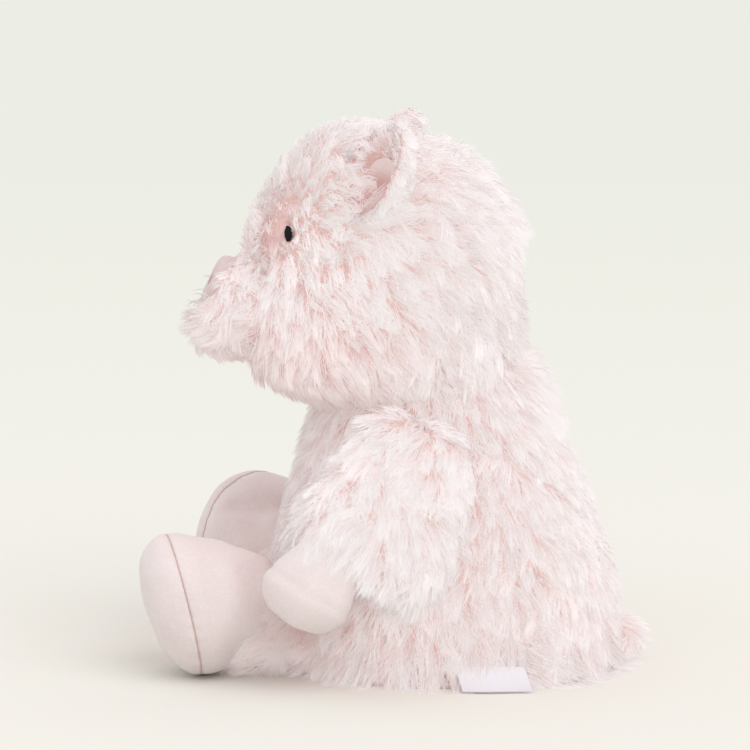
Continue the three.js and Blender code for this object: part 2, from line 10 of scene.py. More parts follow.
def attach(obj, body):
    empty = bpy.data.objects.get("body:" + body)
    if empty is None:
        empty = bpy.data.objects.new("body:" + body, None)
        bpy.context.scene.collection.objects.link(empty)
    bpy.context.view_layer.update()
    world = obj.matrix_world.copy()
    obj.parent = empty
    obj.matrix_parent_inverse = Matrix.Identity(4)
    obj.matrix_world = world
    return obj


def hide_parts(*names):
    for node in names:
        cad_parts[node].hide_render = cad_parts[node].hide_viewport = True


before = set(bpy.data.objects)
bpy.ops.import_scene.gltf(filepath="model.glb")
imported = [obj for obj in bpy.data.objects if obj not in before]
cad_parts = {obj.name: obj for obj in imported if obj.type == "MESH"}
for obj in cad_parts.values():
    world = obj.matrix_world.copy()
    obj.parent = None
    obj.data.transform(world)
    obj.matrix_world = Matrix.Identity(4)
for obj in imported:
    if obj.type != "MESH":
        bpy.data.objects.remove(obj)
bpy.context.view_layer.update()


# Body: a tall rounded bag of knitted backing cloth, sewn from a back panel and a belly panel.
# The cloth carries the pile. Fibre and a pouch of grain fill it, so that it sits flat and heavy.
def unit(v):
    """Vectors drawn out or in to a length of 1."""
    return v / np.maximum(np.linalg.norm(v, axis=-1, keepdims=True), 1e-12)


def smooth_line(points, steps, loose_ends=False):
    """A smooth line through the points, as steps + 1 points that lie evenly along it."""
    points = np.array(points, float)
    first = 2 * points[0] - points[1] if loose_ends else points[0]
    last = 2 * points[-1] - points[-2] if loose_ends else points[-1]
    knots = np.vstack([first, points, last])
    samples = 60 * (len(points) - 1)
    place = np.linspace(0, len(points) - 1, samples + 1)
    start = np.minimum(place.astype(int), len(points) - 2)
    t = (place - start)[:, None]
    a, b, c, d = (knots[start + k] for k in range(4))
    line = (2 * b + (c - a) * t + (2 * a - 5 * b + 4 * c - d) * t**2 + (3 * b - a - 3 * c + d) * t**3) / 2
    gone = np.concatenate([[0], np.cumsum(np.linalg.norm(np.diff(line, axis=0), axis=1))])
    wanted = np.linspace(0, gone[-1], steps + 1)
    return np.stack([np.interp(wanted, gone, line[:, k]) for k in range(points.shape[1])], 1)


def soft_form(spine, width, depth, shares, across=(1, 0, 0), fullness=(1, 1), rows=64, columns=88):
    """An outline carried along a spine: points in rows and columns, the way out at each, and how
    far along the spine each row lies."""
    spine_steps = 300
    path = smooth_line(spine, spine_steps, loose_ends=True)
    heading = unit(np.gradient(path, axis=0))
    profile = smooth_line(shares, rows)
    along = np.clip(profile[:, 1], 0, 1)
    share = np.linspace(0, 1, spine_steps + 1)
    here = np.stack([np.interp(along, share, path[:, k]) for k in range(3)], 1)
    axis = unit(np.stack([np.interp(along, share, heading[:, k]) for k in range(3)], 1))
    across = np.array(across, float)
    side = unit(across - axis * (axis @ across)[:, None])
    rise = np.cross(axis, side)
    full = smooth_line([(k / (len(fullness) - 1), f) for k, f in enumerate(fullness)], 200)
    size = np.maximum(profile[:, 0], 0) / 2
    turn = np.arange(columns) / columns * 2 * math.pi
    wide = size * width * np.interp(along, full[:, 0], full[:, 1])
    ring = (side[:, None] * np.cos(turn)[None, :, None] * wide[:, None, None]
            + rise[:, None] * np.sin(turn)[None, :, None] * (size * depth)[:, None, None])
    grid = here[:, None] + ring
    way_round = np.roll(grid, -1, 1) - np.roll(grid, 1, 1)
    out = np.cross(way_round, np.gradient(grid, axis=0))
    out[0], out[-1] = -axis[0], axis[-1]
    return grid, unit(out), along


def on_form(form, length_share, turn_share):
    """The place on a form at a share of its length and of the way round."""
    grid, _, along = form
    rows = np.arange(len(along))
    row = np.interp(length_share, np.maximum.accumulate(along + 1e-9 * rows), rows)
    column = turn_share % 1 * grid.shape[1]
    r, c = min(int(row), len(grid) - 2), int(column)
    u, v, d = row - r, column - c, (c + 1) % grid.shape[1]
    before = grid[r, c] * (1 - v) + grid[r, d] * v
    after = grid[r + 1, c] * (1 - v) + grid[r + 1, d] * v
    return before * (1 - u) + after * u


def lumps(points, wave, seed, kinds=7):
    """Smooth wandering values, mostly from -1 to 1, that change over the length of a wave."""
    dice = np.random.default_rng(seed)
    total = np.zeros(points.shape[:-1])
    for _ in range(kinds):
        way = unit(dice.normal(size=3)) * 2 * math.pi / wave * dice.uniform(0.6, 1.5)
        total += np.sin(points @ way + dice.uniform(0, 2 * math.pi))
    return total / math.sqrt(kinds)


def add_piece(name, data):
    """A mesh, lamp or lens, put in the scene as an object."""
    piece = bpy.data.objects.new(name, data)
    bpy.context.scene.collection.objects.link(piece)
    return piece


def mesh_piece(name, corners, faces):
    """A smooth piece with these corners and faces."""
    mesh = bpy.data.meshes.new(name)
    mesh.from_pydata([tuple(p) for p in corners], [], faces)
    mesh.shade_smooth()
    return add_piece(name, mesh)


def grid_mesh(name, *grids):
    """A closed smooth mesh over each grid, whose first and last rows shrink to its two ends."""
    corners, faces = [], []
    for grid in grids:
        rows, columns = grid.shape[:2]
        base = len(corners)
        corners += [*grid[1:-1].reshape(-1, 3), grid[0].mean(0), grid[-1].mean(0)]
        start, end, last = len(corners) - 2, len(corners) - 1, base + (rows - 3) * columns
        for c in range(columns):
            d = (c + 1) % columns
            faces += [(start, base + d, base + c), (end, last + c, last + d)]
            for r in range(base, last, columns):
                faces.append((r + c, r + d, r + columns + d, r + columns + c))
    return mesh_piece(name, corners, faces)


def new_finish(name, roughness, specular=0.5):
    """A material with its nodes, links and shader."""
    material = bpy.data.materials.new(name)
    material.use_nodes = True
    nodes, links = material.node_tree.nodes, material.node_tree.links
    shader = nodes["Principled BSDF"]
    shader.inputs["Roughness"].default_value = roughness
    shader.inputs["Specular IOR Level"].default_value = specular
    return material, nodes, links, shader


def add_node(nodes, kind, **values):
    """A node with these inputs set. In an input's name, _ stands for a space."""
    node = nodes.new(kind)
    for name, value in values.items():
        node.inputs[name.replace("_", " ")].default_value = value
    return node


def colour_ramp(nodes, first, last, *between):
    """A node that blends from colour to colour. Each stop is a place and a colour."""
    ramp = nodes.new("ShaderNodeValToRGB")
    stops = ramp.color_ramp.elements
    stops[0].position, stops[0].color = first[0], (*first[1], 1)
    stops[1].position, stops[1].color = last[0], (*last[1], 1)
    for place, colour in between:
        stops.new(place).color = (*colour, 1)
    return ramp


def join(links, *pairs):
    """Joins an output of one node to an input of another, once for each pair."""
    for source, output, target, entry in pairs:
        links.new(source.outputs[output], target.inputs[entry])


def cloth_finish(name, colour, grain, dark=0.86, depth=0.4, sheen=0.3):
    """Matt cloth: fine rows of loops or a short nap, a little uneven in colour."""
    material, nodes, links, shader = new_finish(name, roughness=0.95, specular=0.12)
    place = nodes.new("ShaderNodeTexCoord")
    loops = add_node(nodes, "ShaderNodeTexVoronoi", Scale=1 / grain)
    blotch = add_node(nodes, "ShaderNodeTexNoise", Scale=45, Detail=4)
    nap = add_node(nodes, "ShaderNodeTexNoise", Scale=620)
    uneven = add_node(nodes, "ShaderNodeMix", Factor=0.55)
    tint = colour_ramp(nodes, (0.32, [c * dark for c in colour]), (0.66, colour))
    bump = add_node(nodes, "ShaderNodeBump", Strength=0.6, Distance=grain * depth)
    join(links, (place, "Object", loops, "Vector"), (place, "Object", blotch, "Vector"),
         (place, "Object", nap, "Vector"), (blotch, "Fac", uneven, "A"), (nap, "Fac", uneven, "B"),
         (uneven, "Result", tint, "Fac"), (tint, "Color", shader, "Base Color"),
         (loops, "Distance", bump, "Height"), (bump, "Normal", shader, "Normal"))
    shader.inputs["Sheen Weight"].default_value = sheen
    shader.inputs["Sheen Roughness"].default_value = 0.5
    return material


body_wide = 0.208
body_high = 0.194
body_start = -0.020  # the outline starts under the floor, and its low end is pressed flat on the base
waist_height = 0.064
body_lean = 0.009
body_pile = 0.0112  # the cloth of body and head lies this far inside the outside of its pile
body_hem = 0.0053  # the body's cloth ends at this height, on the base
body_lumps = 0.0010
knit_loop = 0.0011
body_form = soft_form(
    [(0, 0, body_start), (0, 0, waist_height), (0, -body_lean, body_high)], body_wide, body_wide,
    [(0, 0), (0.77, 0.035), (0.96, 0.095), (1, 0.2), (0.99, 0.3), (0.94, 0.42), (0.86, 0.55),
     (0.79, 0.65), (0.69, 0.79), (0.56, 0.91), (0.33, 0.975), (0, 1)],
    rows=72, columns=112,
)
body_grid, body_out, _ = body_form
body_backing = body_grid - body_out * body_pile
body_backing += body_out * (lumps(body_backing, 0.09, 11) * body_lumps)[..., None]
body_backing[..., 2] = np.maximum(body_backing[..., 2], body_hem)
body_cloth = grid_mesh("body_cloth", body_backing)
backing_knit = cloth_finish("pink backing knit", (0.79, 0.52, 0.49), knit_loop)
body_cloth.data.materials.append(backing_knit)
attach(body_cloth, "body")
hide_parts("body_back_panel", "body_belly_panel")

# Base: a round panel of short plush that closes the body below and carries the weight of the
# grain. It is flat on the floor and turns up a little at its seam.
base_wide = 0.192
base_thick = 0.005
base_shares = [(0, 0), (0.93, 0.03), (0.98, 0.2), (1, 0.5), (0.98, 0.8), (0.93, 0.97), (0, 1)]
base_grid = soft_form([(0, 0, 0), (0, 0, base_thick)], base_wide, base_wide, base_shares,
                      rows=26, columns=112)[0]
base_cloth = grid_mesh("base_cloth", base_grid)
base_cloth.data.materials.append(cloth_finish("short pink plush", (0.78, 0.62, 0.60), 0.0006, dark=0.93))
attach(base_cloth, "body")
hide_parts("base_panel")

# Filling: white polyester fibre in the body, packed round a cotton pouch of grain that rests on
# the base. The pouch is what is warmed, and its grain makes it lumpy.
pouch_wide = 0.126
pouch_deep = 0.118
pouch_bottom, pouch_top = -0.0277, 0.084
pouch_floor = 0.0066
cavity_floor = 0.0062
cavity_gap = 0.0004
fibre_depth = 0.0135  # fibre starts this far inside the outside of the pile
fibre_floor, fibre_top = 0.0056, 0.180
fibre_lumps = 0.0006
pouch_grid, pouch_out, _ = soft_form(
    [(0, 0, pouch_bottom), (0, 0, pouch_top)], pouch_wide, pouch_deep,
    [(0, 0), (0.6, 0.1), (0.92, 0.3), (1, 0.5), (0.92, 0.7), (0.6, 0.9), (0, 1)], rows=40, columns=64,
)
fibre_grid = body_grid - body_out * fibre_depth
fibre_grid += body_out * (lumps(fibre_grid, 0.03, 12) * fibre_lumps)[..., None]
fibre_grid[..., 2] = np.clip(fibre_grid[..., 2], fibre_floor, fibre_top)
cavity = pouch_grid + pouch_out * cavity_gap
cavity[..., 2] = np.maximum(cavity[..., 2], cavity_floor)
body_fibre = grid_mesh("body_fibre", fibre_grid, cavity[:, ::-1])
fibre_filling = cloth_finish("fibre filling", (0.86, 0.84, 0.80), 0.0025, dark=0.9, depth=0.8)
body_fibre.data.materials.append(fibre_filling)
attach(body_fibre, "body")
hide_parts("body_stuffing")

grain_lumps = 0.0008 + 0.0006 * np.abs(lumps(pouch_grid, 0.012, 13))
pouch_cloth = pouch_grid - pouch_out * grain_lumps[..., None]
pouch_cloth[..., 2] = np.maximum(pouch_cloth[..., 2], pouch_floor)
pouch = grid_mesh("pouch_of_grain", pouch_cloth)
pouch.data.materials.append(cloth_finish("cotton pouch", (0.66, 0.58, 0.44), 0.0008))
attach(pouch, "body")
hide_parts("grain_pouch")


# Body fur: long polyester pile, knitted into the cloth. Each strand stands out of the cloth and
# then falls; strands gather into tufts, and tufts into pointed locks with pale tips.
def scatter(form, count, seed):
    """Places spread evenly over a form's area, with the way out at each."""
    grid, out = form[:2]
    dice = np.random.default_rng(seed)
    a, d = grid[:-1], grid[1:]
    b, c = np.roll(a, -1, 1), np.roll(d, -1, 1)
    area = np.linalg.norm(np.cross(c - a, d - b), axis=2)
    pick = dice.choice(area.size, count, p=area.ravel() / area.sum())
    r, k = np.divmod(pick, area.shape[1])
    u, v = dice.random((2, count, 1))
    beside = (k + 1) % area.shape[1]

    def mix(field):
        near = field[r, k] * (1 - u) + field[r, beside] * u
        return near * (1 - v) + (field[r + 1, k] * (1 - u) + field[r + 1, beside] * u) * v

    return mix(grid), unit(mix(out))


def nearest(points, centres):
    """The index of the centre that lies nearest to each point."""
    tree = KDTree(len(centres))
    for k, centre in enumerate(centres):
        tree.insert(centre, k)
    tree.balance()
    return np.array([tree.find(p)[1] for p in points])


def turned(v, axis, angle):
    """Vectors turned about axes that they are square to."""
    return v * np.cos(angle)[:, None] + np.cross(axis, v) * np.sin(angle)[:, None]


def along_cloth(way, out):
    """The part of a direction that lies along the cloth."""
    return unit(way - out * np.sum(way * out, 1)[:, None])


def wandering(points, wave, seed, *amounts):
    """Ways that wander over the cloth by up to these amounts in X, Y and Z."""
    way = np.zeros((len(points), 3))
    for k, amount in enumerate(amounts):
        way[:, k] = amount * lumps(points, wave, seed + k)
    return way


def eased(value, low, high):
    """0 up to the low value and 1 from the high one on, with a smooth step between."""
    share = np.clip((value - low) / (high - low), 0, 1)
    return share * share * (3 - 2 * share)


def pile_finish(name, root, middle, tip):
    """Fine matt strands: deep pink at the cloth, pale at the tip, each lock a little different. The deep pink
    at the cloth is partly the pile's own colour and partly painted shade, since the strands cast no shadow.
    """
    material, nodes, links, shader = new_finish(name, roughness=0.8, specular=0.0)
    place = nodes.new("ShaderNodeUVMap")
    place.uv_map = "OFBake"
    split = nodes.new("ShaderNodeSeparateXYZ")
    paler = [m + (t - m) * 0.65 for m, t in zip(middle, tip)]
    length = colour_ramp(nodes, (0.0, root), (1.0, tip), (0.3, middle), (0.62, paler))
    shade = add_node(nodes, "ShaderNodeMapRange", To_Min=0.88, To_Max=1.0)
    tinted = nodes.new("ShaderNodeVectorMath")
    tinted.operation = "SCALE"
    join(links, (place, "UV", split, "Vector"), (split, "Y", length, "Fac"), (split, "X", shade, "Value"),
         (length, "Color", tinted, 0), (shade, "Result", tinted, "Scale"),
         (tinted, "Vector", shader, "Base Color"))
    return material


# The root colour is partly painted shade, as the strands cast no shadow.
long_pile = pile_finish("long pale pink pile", (0.79, 0.48, 0.465), (0.91, 0.775, 0.775), (0.94, 0.915, 0.93))
most_strands = 13000  # in one piece
strand_steps = np.array([0, 0.36, 0.72, 1.0])
strand_widths = np.array([0.7, 1.0, 0.72])
strand_faces = [(a, b, b + 3, a + 3) for a, b in ((0, 1), (1, 2), (2, 0), (3, 4), (4, 5), (5, 3))]
strand_faces += [(6, 7, 9), (7, 8, 10), (8, 6, 11)]
stray_share = 0.17
floor_gap = 0.0006


def strand_paths(roots, out, lay, rise, reach, sag):
    """Points along each strand: up out of the cloth, then over and along the way it lies."""
    t = strand_steps[None, :, None]
    up = rise[:, None, None] * (1.35 * t - 0.35 * t**2)
    over = reach[:, None, None] * t**1.5
    down = np.zeros((len(roots), len(strand_steps), 3))
    down[..., 2] = -(sag[:, None] * strand_steps**2.2)
    return roots[:, None] + out[:, None] * up + lay[:, None] * over + down


def grow_fur(name, body, roots, out, lay, rise, reach, seed, sag=0.003, lock=0.0068, tuft=0.0022,
             width=0.00046, swirl=0.45, gather=0.62, cut=1.0):
    """Strands on the roots as pointed ridges, in pieces that each hold one stretch of the fur."""
    dice = np.random.default_rng(seed)
    count = len(roots)
    near = np.linalg.norm(roots - roots[dice.integers(count)], axis=1)
    near_reach = 0.012
    density = max((near < near_reach).sum(), 8) / (math.pi * near_reach**2)
    locks = dice.choice(count, max(int(count / density / lock**2), 4), replace=False)
    tufts = dice.choice(count, max(int(count / density / tuft**2), 8), replace=False)
    of_lock = nearest(roots, roots[locks])
    of_tuft = nearest(roots, roots[tufts])
    lock_turn = dice.normal(0, swirl, len(locks))
    lock_long = dice.uniform(0.72, 1.18, len(locks))
    lock_high = dice.uniform(0.72, 1.08, len(locks))
    lock_tint = dice.random(len(locks))
    tuft_turn = dice.normal(0, 0.22, len(tufts))
    stray = dice.random(count) < stray_share
    turn = lock_turn[of_lock] + tuft_turn[of_tuft] + dice.normal(0, 0.12, count)
    turn = turn + stray * dice.normal(0, 0.7, count)
    long = lock_long[of_lock] * dice.uniform(0.8, 1.06, count)
    high = np.where(stray, 1.2, lock_high[of_lock]) * dice.uniform(0.84, 1.04, count)
    paths = strand_paths(roots, out, turned(lay, out, turn), rise * high, reach * long, sag * long)
    hold = strand_steps[None, :, None] ** 1.3
    firm = np.where(stray, 0.2, gather)[:, None, None] * dice.uniform(0.8, 1, (count, 1, 1))
    paths = paths * (1 - firm * hold) + paths[locks][of_lock] * firm * hold
    firm = np.where(stray, 0.2, 0.6)[:, None, None]
    paths = paths * (1 - firm * hold) + paths[tufts][of_tuft] * firm * hold
    paths[..., 2] = np.maximum(paths[..., 2], floor_gap)

    # Three corners round each of three steps, and three in one place at the tip.
    heading = unit(np.gradient(paths, axis=1))
    beside = unit(np.cross(heading, out[:, None] + dice.normal(0, 0.2, (count, 1, 3))))
    above = np.cross(beside, heading)
    half = (width / 2 * dice.uniform(0.7, 1.3, count))[:, None] * strand_widths
    below = 0.5 * above
    radial = np.stack([-0.87 * beside - below, above, 0.87 * beside - below], 2)[:, :3]
    corners = (paths[:, :3, None] + radial * half[..., None, None]).reshape(count, 9, 3)
    corners = np.concatenate([corners, paths[:, 3:].repeat(3, 1)], 1)

    # Each lock is shaded as one round form, and each strand as a round one on it. The share of the
    # strand's own roundness is highest at its two sides, so that no face is shaded from behind.
    bulge = roots - roots[locks][of_lock]
    bulge = (bulge - out * np.sum(bulge * out, 1)[:, None]) / lock
    facing = unit(out + bulge * 0.6)
    tip_radial = radial[:, 2] + np.roll(radial[:, 2], -1, 1)
    side_share, top_share, tip_share = 2.2, 1.15, 1.6
    round_share = np.array([side_share, top_share, side_share] * 3 + [top_share, top_share, tip_share])
    every_radial = np.concatenate([radial.reshape(count, 9, 3), tip_radial], 1)
    normal = unit(facing[:, None] + round_share[None, :, None] * every_radial)

    # The map's first way is the strand's own tint, and its second how far along it a corner lies.
    tint = np.clip(0.55 * lock_tint[of_lock] + 0.45 * dice.random(count), 0, 1)
    place_u = 0.02 + 0.94 * tint
    fan = np.array([0, 0.5, 1] * 4) * 0.015
    uv_u = place_u[:, None] + fan[None]
    shown = np.broadcast_to(cut, count) * (1 - 0.16 * lock_tint[of_lock] ** 2)
    uv_v = np.repeat(strand_steps, 3) * shown[:, None] * 0.96 + 0.02

    middle = roots.mean(0)
    order = np.argsort(np.arctan2(roots[:, 1] - middle[1], roots[:, 0] - middle[0]), kind="stable")
    groups = np.array_split(order, max(1, math.ceil(count / most_strands)))
    for number, group in enumerate(groups, 1):
        piece_name = name if len(groups) == 1 else f"{name}_{number}"
        mesh = bpy.data.meshes.new(piece_name)
        each = corners.shape[1]
        mesh.vertices.add(len(group) * each)
        mesh.vertices.foreach_set("co", corners[group].astype(np.float32).ravel())
        base = (np.arange(len(group)) * each)[:, None]
        loops = np.concatenate([base + np.array(face) for face in strand_faces], 1).ravel()
        mesh.loops.add(loops.size)
        mesh.loops.foreach_set("vertex_index", loops.astype(np.int32))
        sizes = np.tile([len(face) for face in strand_faces], len(group))
        starts = np.concatenate([[0], np.cumsum(sizes)[:-1]])
        mesh.polygons.add(len(sizes))
        mesh.polygons.foreach_set("loop_start", starts.astype(np.int32))
        mesh.polygons.foreach_set("use_smooth", np.ones(len(sizes), bool))
        mesh.update(calc_edges=True)
        layer = mesh.uv_layers.new(name="OFBake")
        uv = np.stack([uv_u[group].ravel()[loops], uv_v[group].ravel()[loops]], 1)
        layer.data.foreach_set("uv", uv.astype(np.float32).ravel())
        mesh.normals_split_custom_set_from_vertices(normal[group].reshape(-1, 3))
        mesh.materials.append(long_pile)
        piece = add_piece(piece_name, mesh)
        piece.visible_shadow = False
        piece.visible_diffuse = False
        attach(piece, body)


body_strands = 112000
body_rise = 0.0112
body_reach = 0.0165
body_fur_floor = 0.0058
body_fur_top = 0.176  # above this the head caps the cloth
label_middle = 0.0305  # the fur lifts over the label, whose middle lies this far back
roots, out = scatter((body_backing, body_out), body_strands, 21)
keep = (roots[:, 2] > body_fur_floor) & (roots[:, 2] < body_fur_top)
roots, out = roots[keep], out[keep]

# Where on the body each root lies. All but the height are shares from 0 to 1.
height = roots[:, 2]
low = eased(0.034 - height, 0, 0.026)
nape = eased(height, 0.135, 0.165) * eased(roots[:, 1], 0, 0.035)
rump = eased(roots[:, 1], 0.045, 0.085) * eased(0.085 - height, 0, 0.03)
diagonal = (2 * np.abs(roots[:, 0] * roots[:, 1]) / np.sum(roots[:, :2] ** 2, 1)) ** 2
corner = low * eased(roots[:, 1], 0.02, 0.05) * diagonal
over_label = (roots[:, 0] > 0.05) * np.exp(-(((roots[:, 1] - label_middle) / 0.024) ** 2))
over_label = over_label * eased(height, 0.010, 0.016)
over_label = over_label * eased(0.040 - height, 0, 0.012)
low_front = eased(0.070 - height, 0, 0.04) * eased(-roots[:, 1], -0.02, 0.03)

# The pile falls, is longest at nape, rump and floor, and spreads there. Low down, and in random streaks low
# at the front, its colour is painted more pink, as painted warm shade near the floor.
lay = along_cloth(wandering(roots, 0.10, 22, 0.34, 0.34) + (0, 0, -1), out)
spread = (low * (1 - 0.8 * over_label))[:, None]
lay = unit(lay * (1 - 0.45 * spread) + out * np.array((1, 1, 0)) * spread * 0.75)
rise = body_rise * (1 - 0.45 * low) * (1 + 0.5 * nape + 0.3 * rump) + 0.0085 * over_label
reach = body_reach * (1 + 0.45 * low + 0.3 * nape + 0.25 * rump + 1.3 * corner) + 0.011 * over_label
streaks = 0.40 * eased(lumps(roots, 0.018, 25), 0.1, 1.1) * low_front
grow_fur("body_fur", "body", roots, out, lay, rise, reach, 24,
         cut=1 - 0.18 * eased(0.10 - height, 0, 0.07) - streaks)


# Head: a face panel and a back panel round their filling. Its underside is hollow and caps the
# neck, and its pile fans out from the face, long on cheeks and chin and short on the crown.
def tree_over(grid):
    """A search tree over a grid's faces, to set other cloth on it."""
    rows, columns = grid.shape[:2]
    r, c = np.meshgrid(np.arange(rows - 1), np.arange(columns), indexing="ij")
    d = (c + 1) % columns
    faces = np.stack([r * columns + c, r * columns + d, (r + 1) * columns + d, (r + 1) * columns + c], -1)
    return BVHTree.FromPolygons(grid.reshape(-1, 3).tolist(), faces.reshape(-1, 4).tolist())


def rest_on(points, tree, way, gap):
    """Moves points that lie in or under a surface out of it, along a way, until the gap is left."""
    flat = points.reshape(-1, 3).copy()
    way = Vector(way).normalized()
    for k, p in enumerate(flat):
        p = Vector(p)
        hit = tree.ray_cast(p + way * 0.4, -way)[0]
        if hit is not None and (p - hit).dot(way) < gap:
            flat[k] = hit + way * gap
    return flat.reshape(points.shape)


def least_distance(points, places, weights=(1, 1, 1)):
    """How far each point lies from the nearest of a few places."""
    return np.min([np.linalg.norm((points - place) * weights, axis=1) for place in places], 0)


head_wide = 0.170
head_deep = 0.166
head_high = 0.168
head_bottom = 0.144
head_forward = 0.040
head_gap = 0.0012  # between the head's cloth and the neck that it caps
head_fibre_gap = 0.0035
head_fibre_lumps = 0.0005
head_spine = ((1, 0), (0.97, 0.2), (0.88, 0.5), (0.66, 0.78), (0.3, 1))
head_form = soft_form(
    [(0, -head_forward * f, head_bottom + head_high * u) for f, u in head_spine], head_wide, head_deep,
    [(0, 0), (0.45, 0.035), (0.72, 0.09), (0.92, 0.17), (0.98, 0.28), (1, 0.42), (0.99, 0.55),
     (0.91, 0.7), (0.76, 0.835), (0.44, 0.955), (0, 1)],
    fullness=(0.98, 1.1, 1.06, 1, 0.94, 0.88), rows=72, columns=112,
)
head_grid, head_out, _ = head_form
upward = (0, 0, 1)
body_tree = tree_over(body_grid)
head_backing = head_grid - head_out * body_pile
head_backing += head_out * (lumps(head_backing, 0.09, 31) * body_lumps)[..., None]
head_backing = rest_on(head_backing, body_tree, upward, head_gap)
head_cloth = grid_mesh("head_cloth", head_backing)
head_cloth.data.materials.append(backing_knit)
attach(head_cloth, "head")
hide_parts("head_back_panel", "head_face_panel")

head_fibre_grid = head_grid - head_out * fibre_depth
head_fibre_grid = rest_on(head_fibre_grid, body_tree, upward, head_fibre_gap)
head_fibre_grid += head_out * (lumps(head_fibre_grid, 0.03, 32) * head_fibre_lumps)[..., None]
head_fibre = grid_mesh("head_fibre", head_fibre_grid)
head_fibre.data.materials.append(fibre_filling)
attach(head_fibre, "head")
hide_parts("head_stuffing")

# Places on the face, as shares of the head's length and of the way round it, where 0 is the
# toy's left and 0.75 is straight ahead. The eyes sit in the pile, inside the head's outside.
sides = {"left": 1, "right": -1}
face_front = on_form(head_form, 0.38, 0.75)
eye_share, eye_turn = 0.585, 0.145
ear_share, ear_back = 0.82, 0.03
eye_depth = 0.0095
eye_shift = (0, 0.0025, 0.0015)
eye_places = {"left": on_form(head_form, eye_share, 1 - eye_turn),
              "right": on_form(head_form, eye_share, 0.5 + eye_turn)}
eye_ways = {side: unit(place - np.array((0, -head_forward, place[2]))) for side, place in eye_places.items()}
eye_middles = {side: eye_places[side] - eye_ways[side] * eye_depth + eye_shift for side in sides}
eye_ways = {side: unit(way * (0.50, 1, 1)) for side, way in eye_ways.items()}
ear_places = {"left": on_form(head_form, ear_share, 1 - ear_back),
              "right": on_form(head_form, ear_share, 0.5 + ear_back)}

head_strands = 88000
head_rise = 0.0108
head_reach = 0.0155
eye_clear = 0.0050
head_fur_gap = 0.0019
muzzle_root_half = (0.040, 0.027)  # no fur grows on the face inside this oval, under the muzzle
muzzle_root_drop = 0.005
hollow_shift = (0.009, -0.015, 0.010)  # inward, ahead and up from each eye, to its hollow, whose pink is painted shade
fan_middle = np.array((0, -0.112, 0.222))
roots, out = scatter((head_backing, head_out), head_strands, 41)
covered = rest_on(roots, body_tree, upward, head_fur_gap)[:, 2] > roots[:, 2]
above_muzzle = roots[:, 2] - face_front[2] + muzzle_root_drop
in_muzzle = np.hypot(roots[:, 0] / muzzle_root_half[0], above_muzzle / muzzle_root_half[1]) < 1
in_muzzle = in_muzzle & (roots[:, 1] < -0.09)
from_eye = least_distance(roots, eye_middles.values())
hollows = [eye_middles[side] + np.array((-sign, 1, 1)) * hollow_shift for side, sign in sides.items()]
from_hollow = least_distance(roots, hollows, (1, 1, 0.7))
keep = ~covered & ~in_muzzle & (from_eye > eye_clear)
roots, out, from_eye, from_hollow = roots[keep], out[keep], from_eye[keep], from_hollow[keep]

# Where on the head each root lies: three distances, and the rest as shares from 0 to 1. The trim is 0 in the
# hollows by the eyes, whose pink is painted shade.
forward, height = -roots[:, 1], roots[:, 2]
nape = eased(0.245 - height, 0, 0.05) * eased(roots[:, 1], -0.02, 0.02)
crown_back = eased(height, 0.235, 0.265) * eased(roots[:, 1], -0.03, 0.01)
crown = eased(height, 0.262, 0.300)
chin = eased(0.200 - height, 0, 0.03) * eased(forward, 0.03, 0.07)
trim = np.minimum(eased(from_eye, 0.002, 0.014), eased(from_hollow, 0.009, 0.029))
from_ear = least_distance(roots, [place + (0, -0.014, 0) for place in ear_places.values()])
below_ear = least_distance(roots, [place + (0, -0.004, -0.026) for place in ear_places.values()])
below_ear = 1 - eased(below_ear, 0.008, 0.020)

# The pile fans out from the face and falls over the cheeks. Cut short it shows its pink depth; in the eye
# hollows and under the muzzle its colour is also painted more pink, as painted shade, and the face has random
# pink streaks.
way = wandering(roots, 0.07, 42, 0.25, 0.25)
way[:, 2] = -(0.35 + 0.9 * eased(0.235 - height, 0, 0.06) * (1 - 0.6 * nape))
lay = along_cloth(unit(roots - fan_middle) + way, out)
rise = head_rise * (0.08 + 0.92 * trim) * (1 - 0.10 * crown) * (0.4 + 0.6 * eased(from_ear, 0.014, 0.025))
rise = rise * (1 + 0.55 * below_ear + 0.80 * nape + 1.0 * crown_back - 0.15 * chin)
reach = head_reach * (0.10 + 0.90 * trim) * (1 - 0.20 * crown)
reach = reach * (1 + 0.85 * below_ear + 0.35 * nape + 0.5 * crown_back)
# Painted shade: the pile under the muzzle and round the eyes is coloured more pink.
under_muzzle_shade = 0.42 * eased(0.240 - height, 0, 0.05) * eased(forward, -0.02, 0.05)
hollow_shade = 0.90 * (1 - eased(from_hollow, 0.009, 0.027)) + 0.12 * (1 - eased(from_eye, 0.003, 0.010))
streaks = 0.45 * eased(lumps(roots, 0.015, 45), 0.1, 1.1) * eased(forward, 0.050, 0.085)
streaks = streaks * eased(0.262 - height, 0, 0.02)
cut = np.clip(1 - hollow_shade - under_muzzle_shade - streaks, 0.06, 1)
grow_fur("head_fur", "head", roots, out, lay, rise, reach, 44, cut=cut)

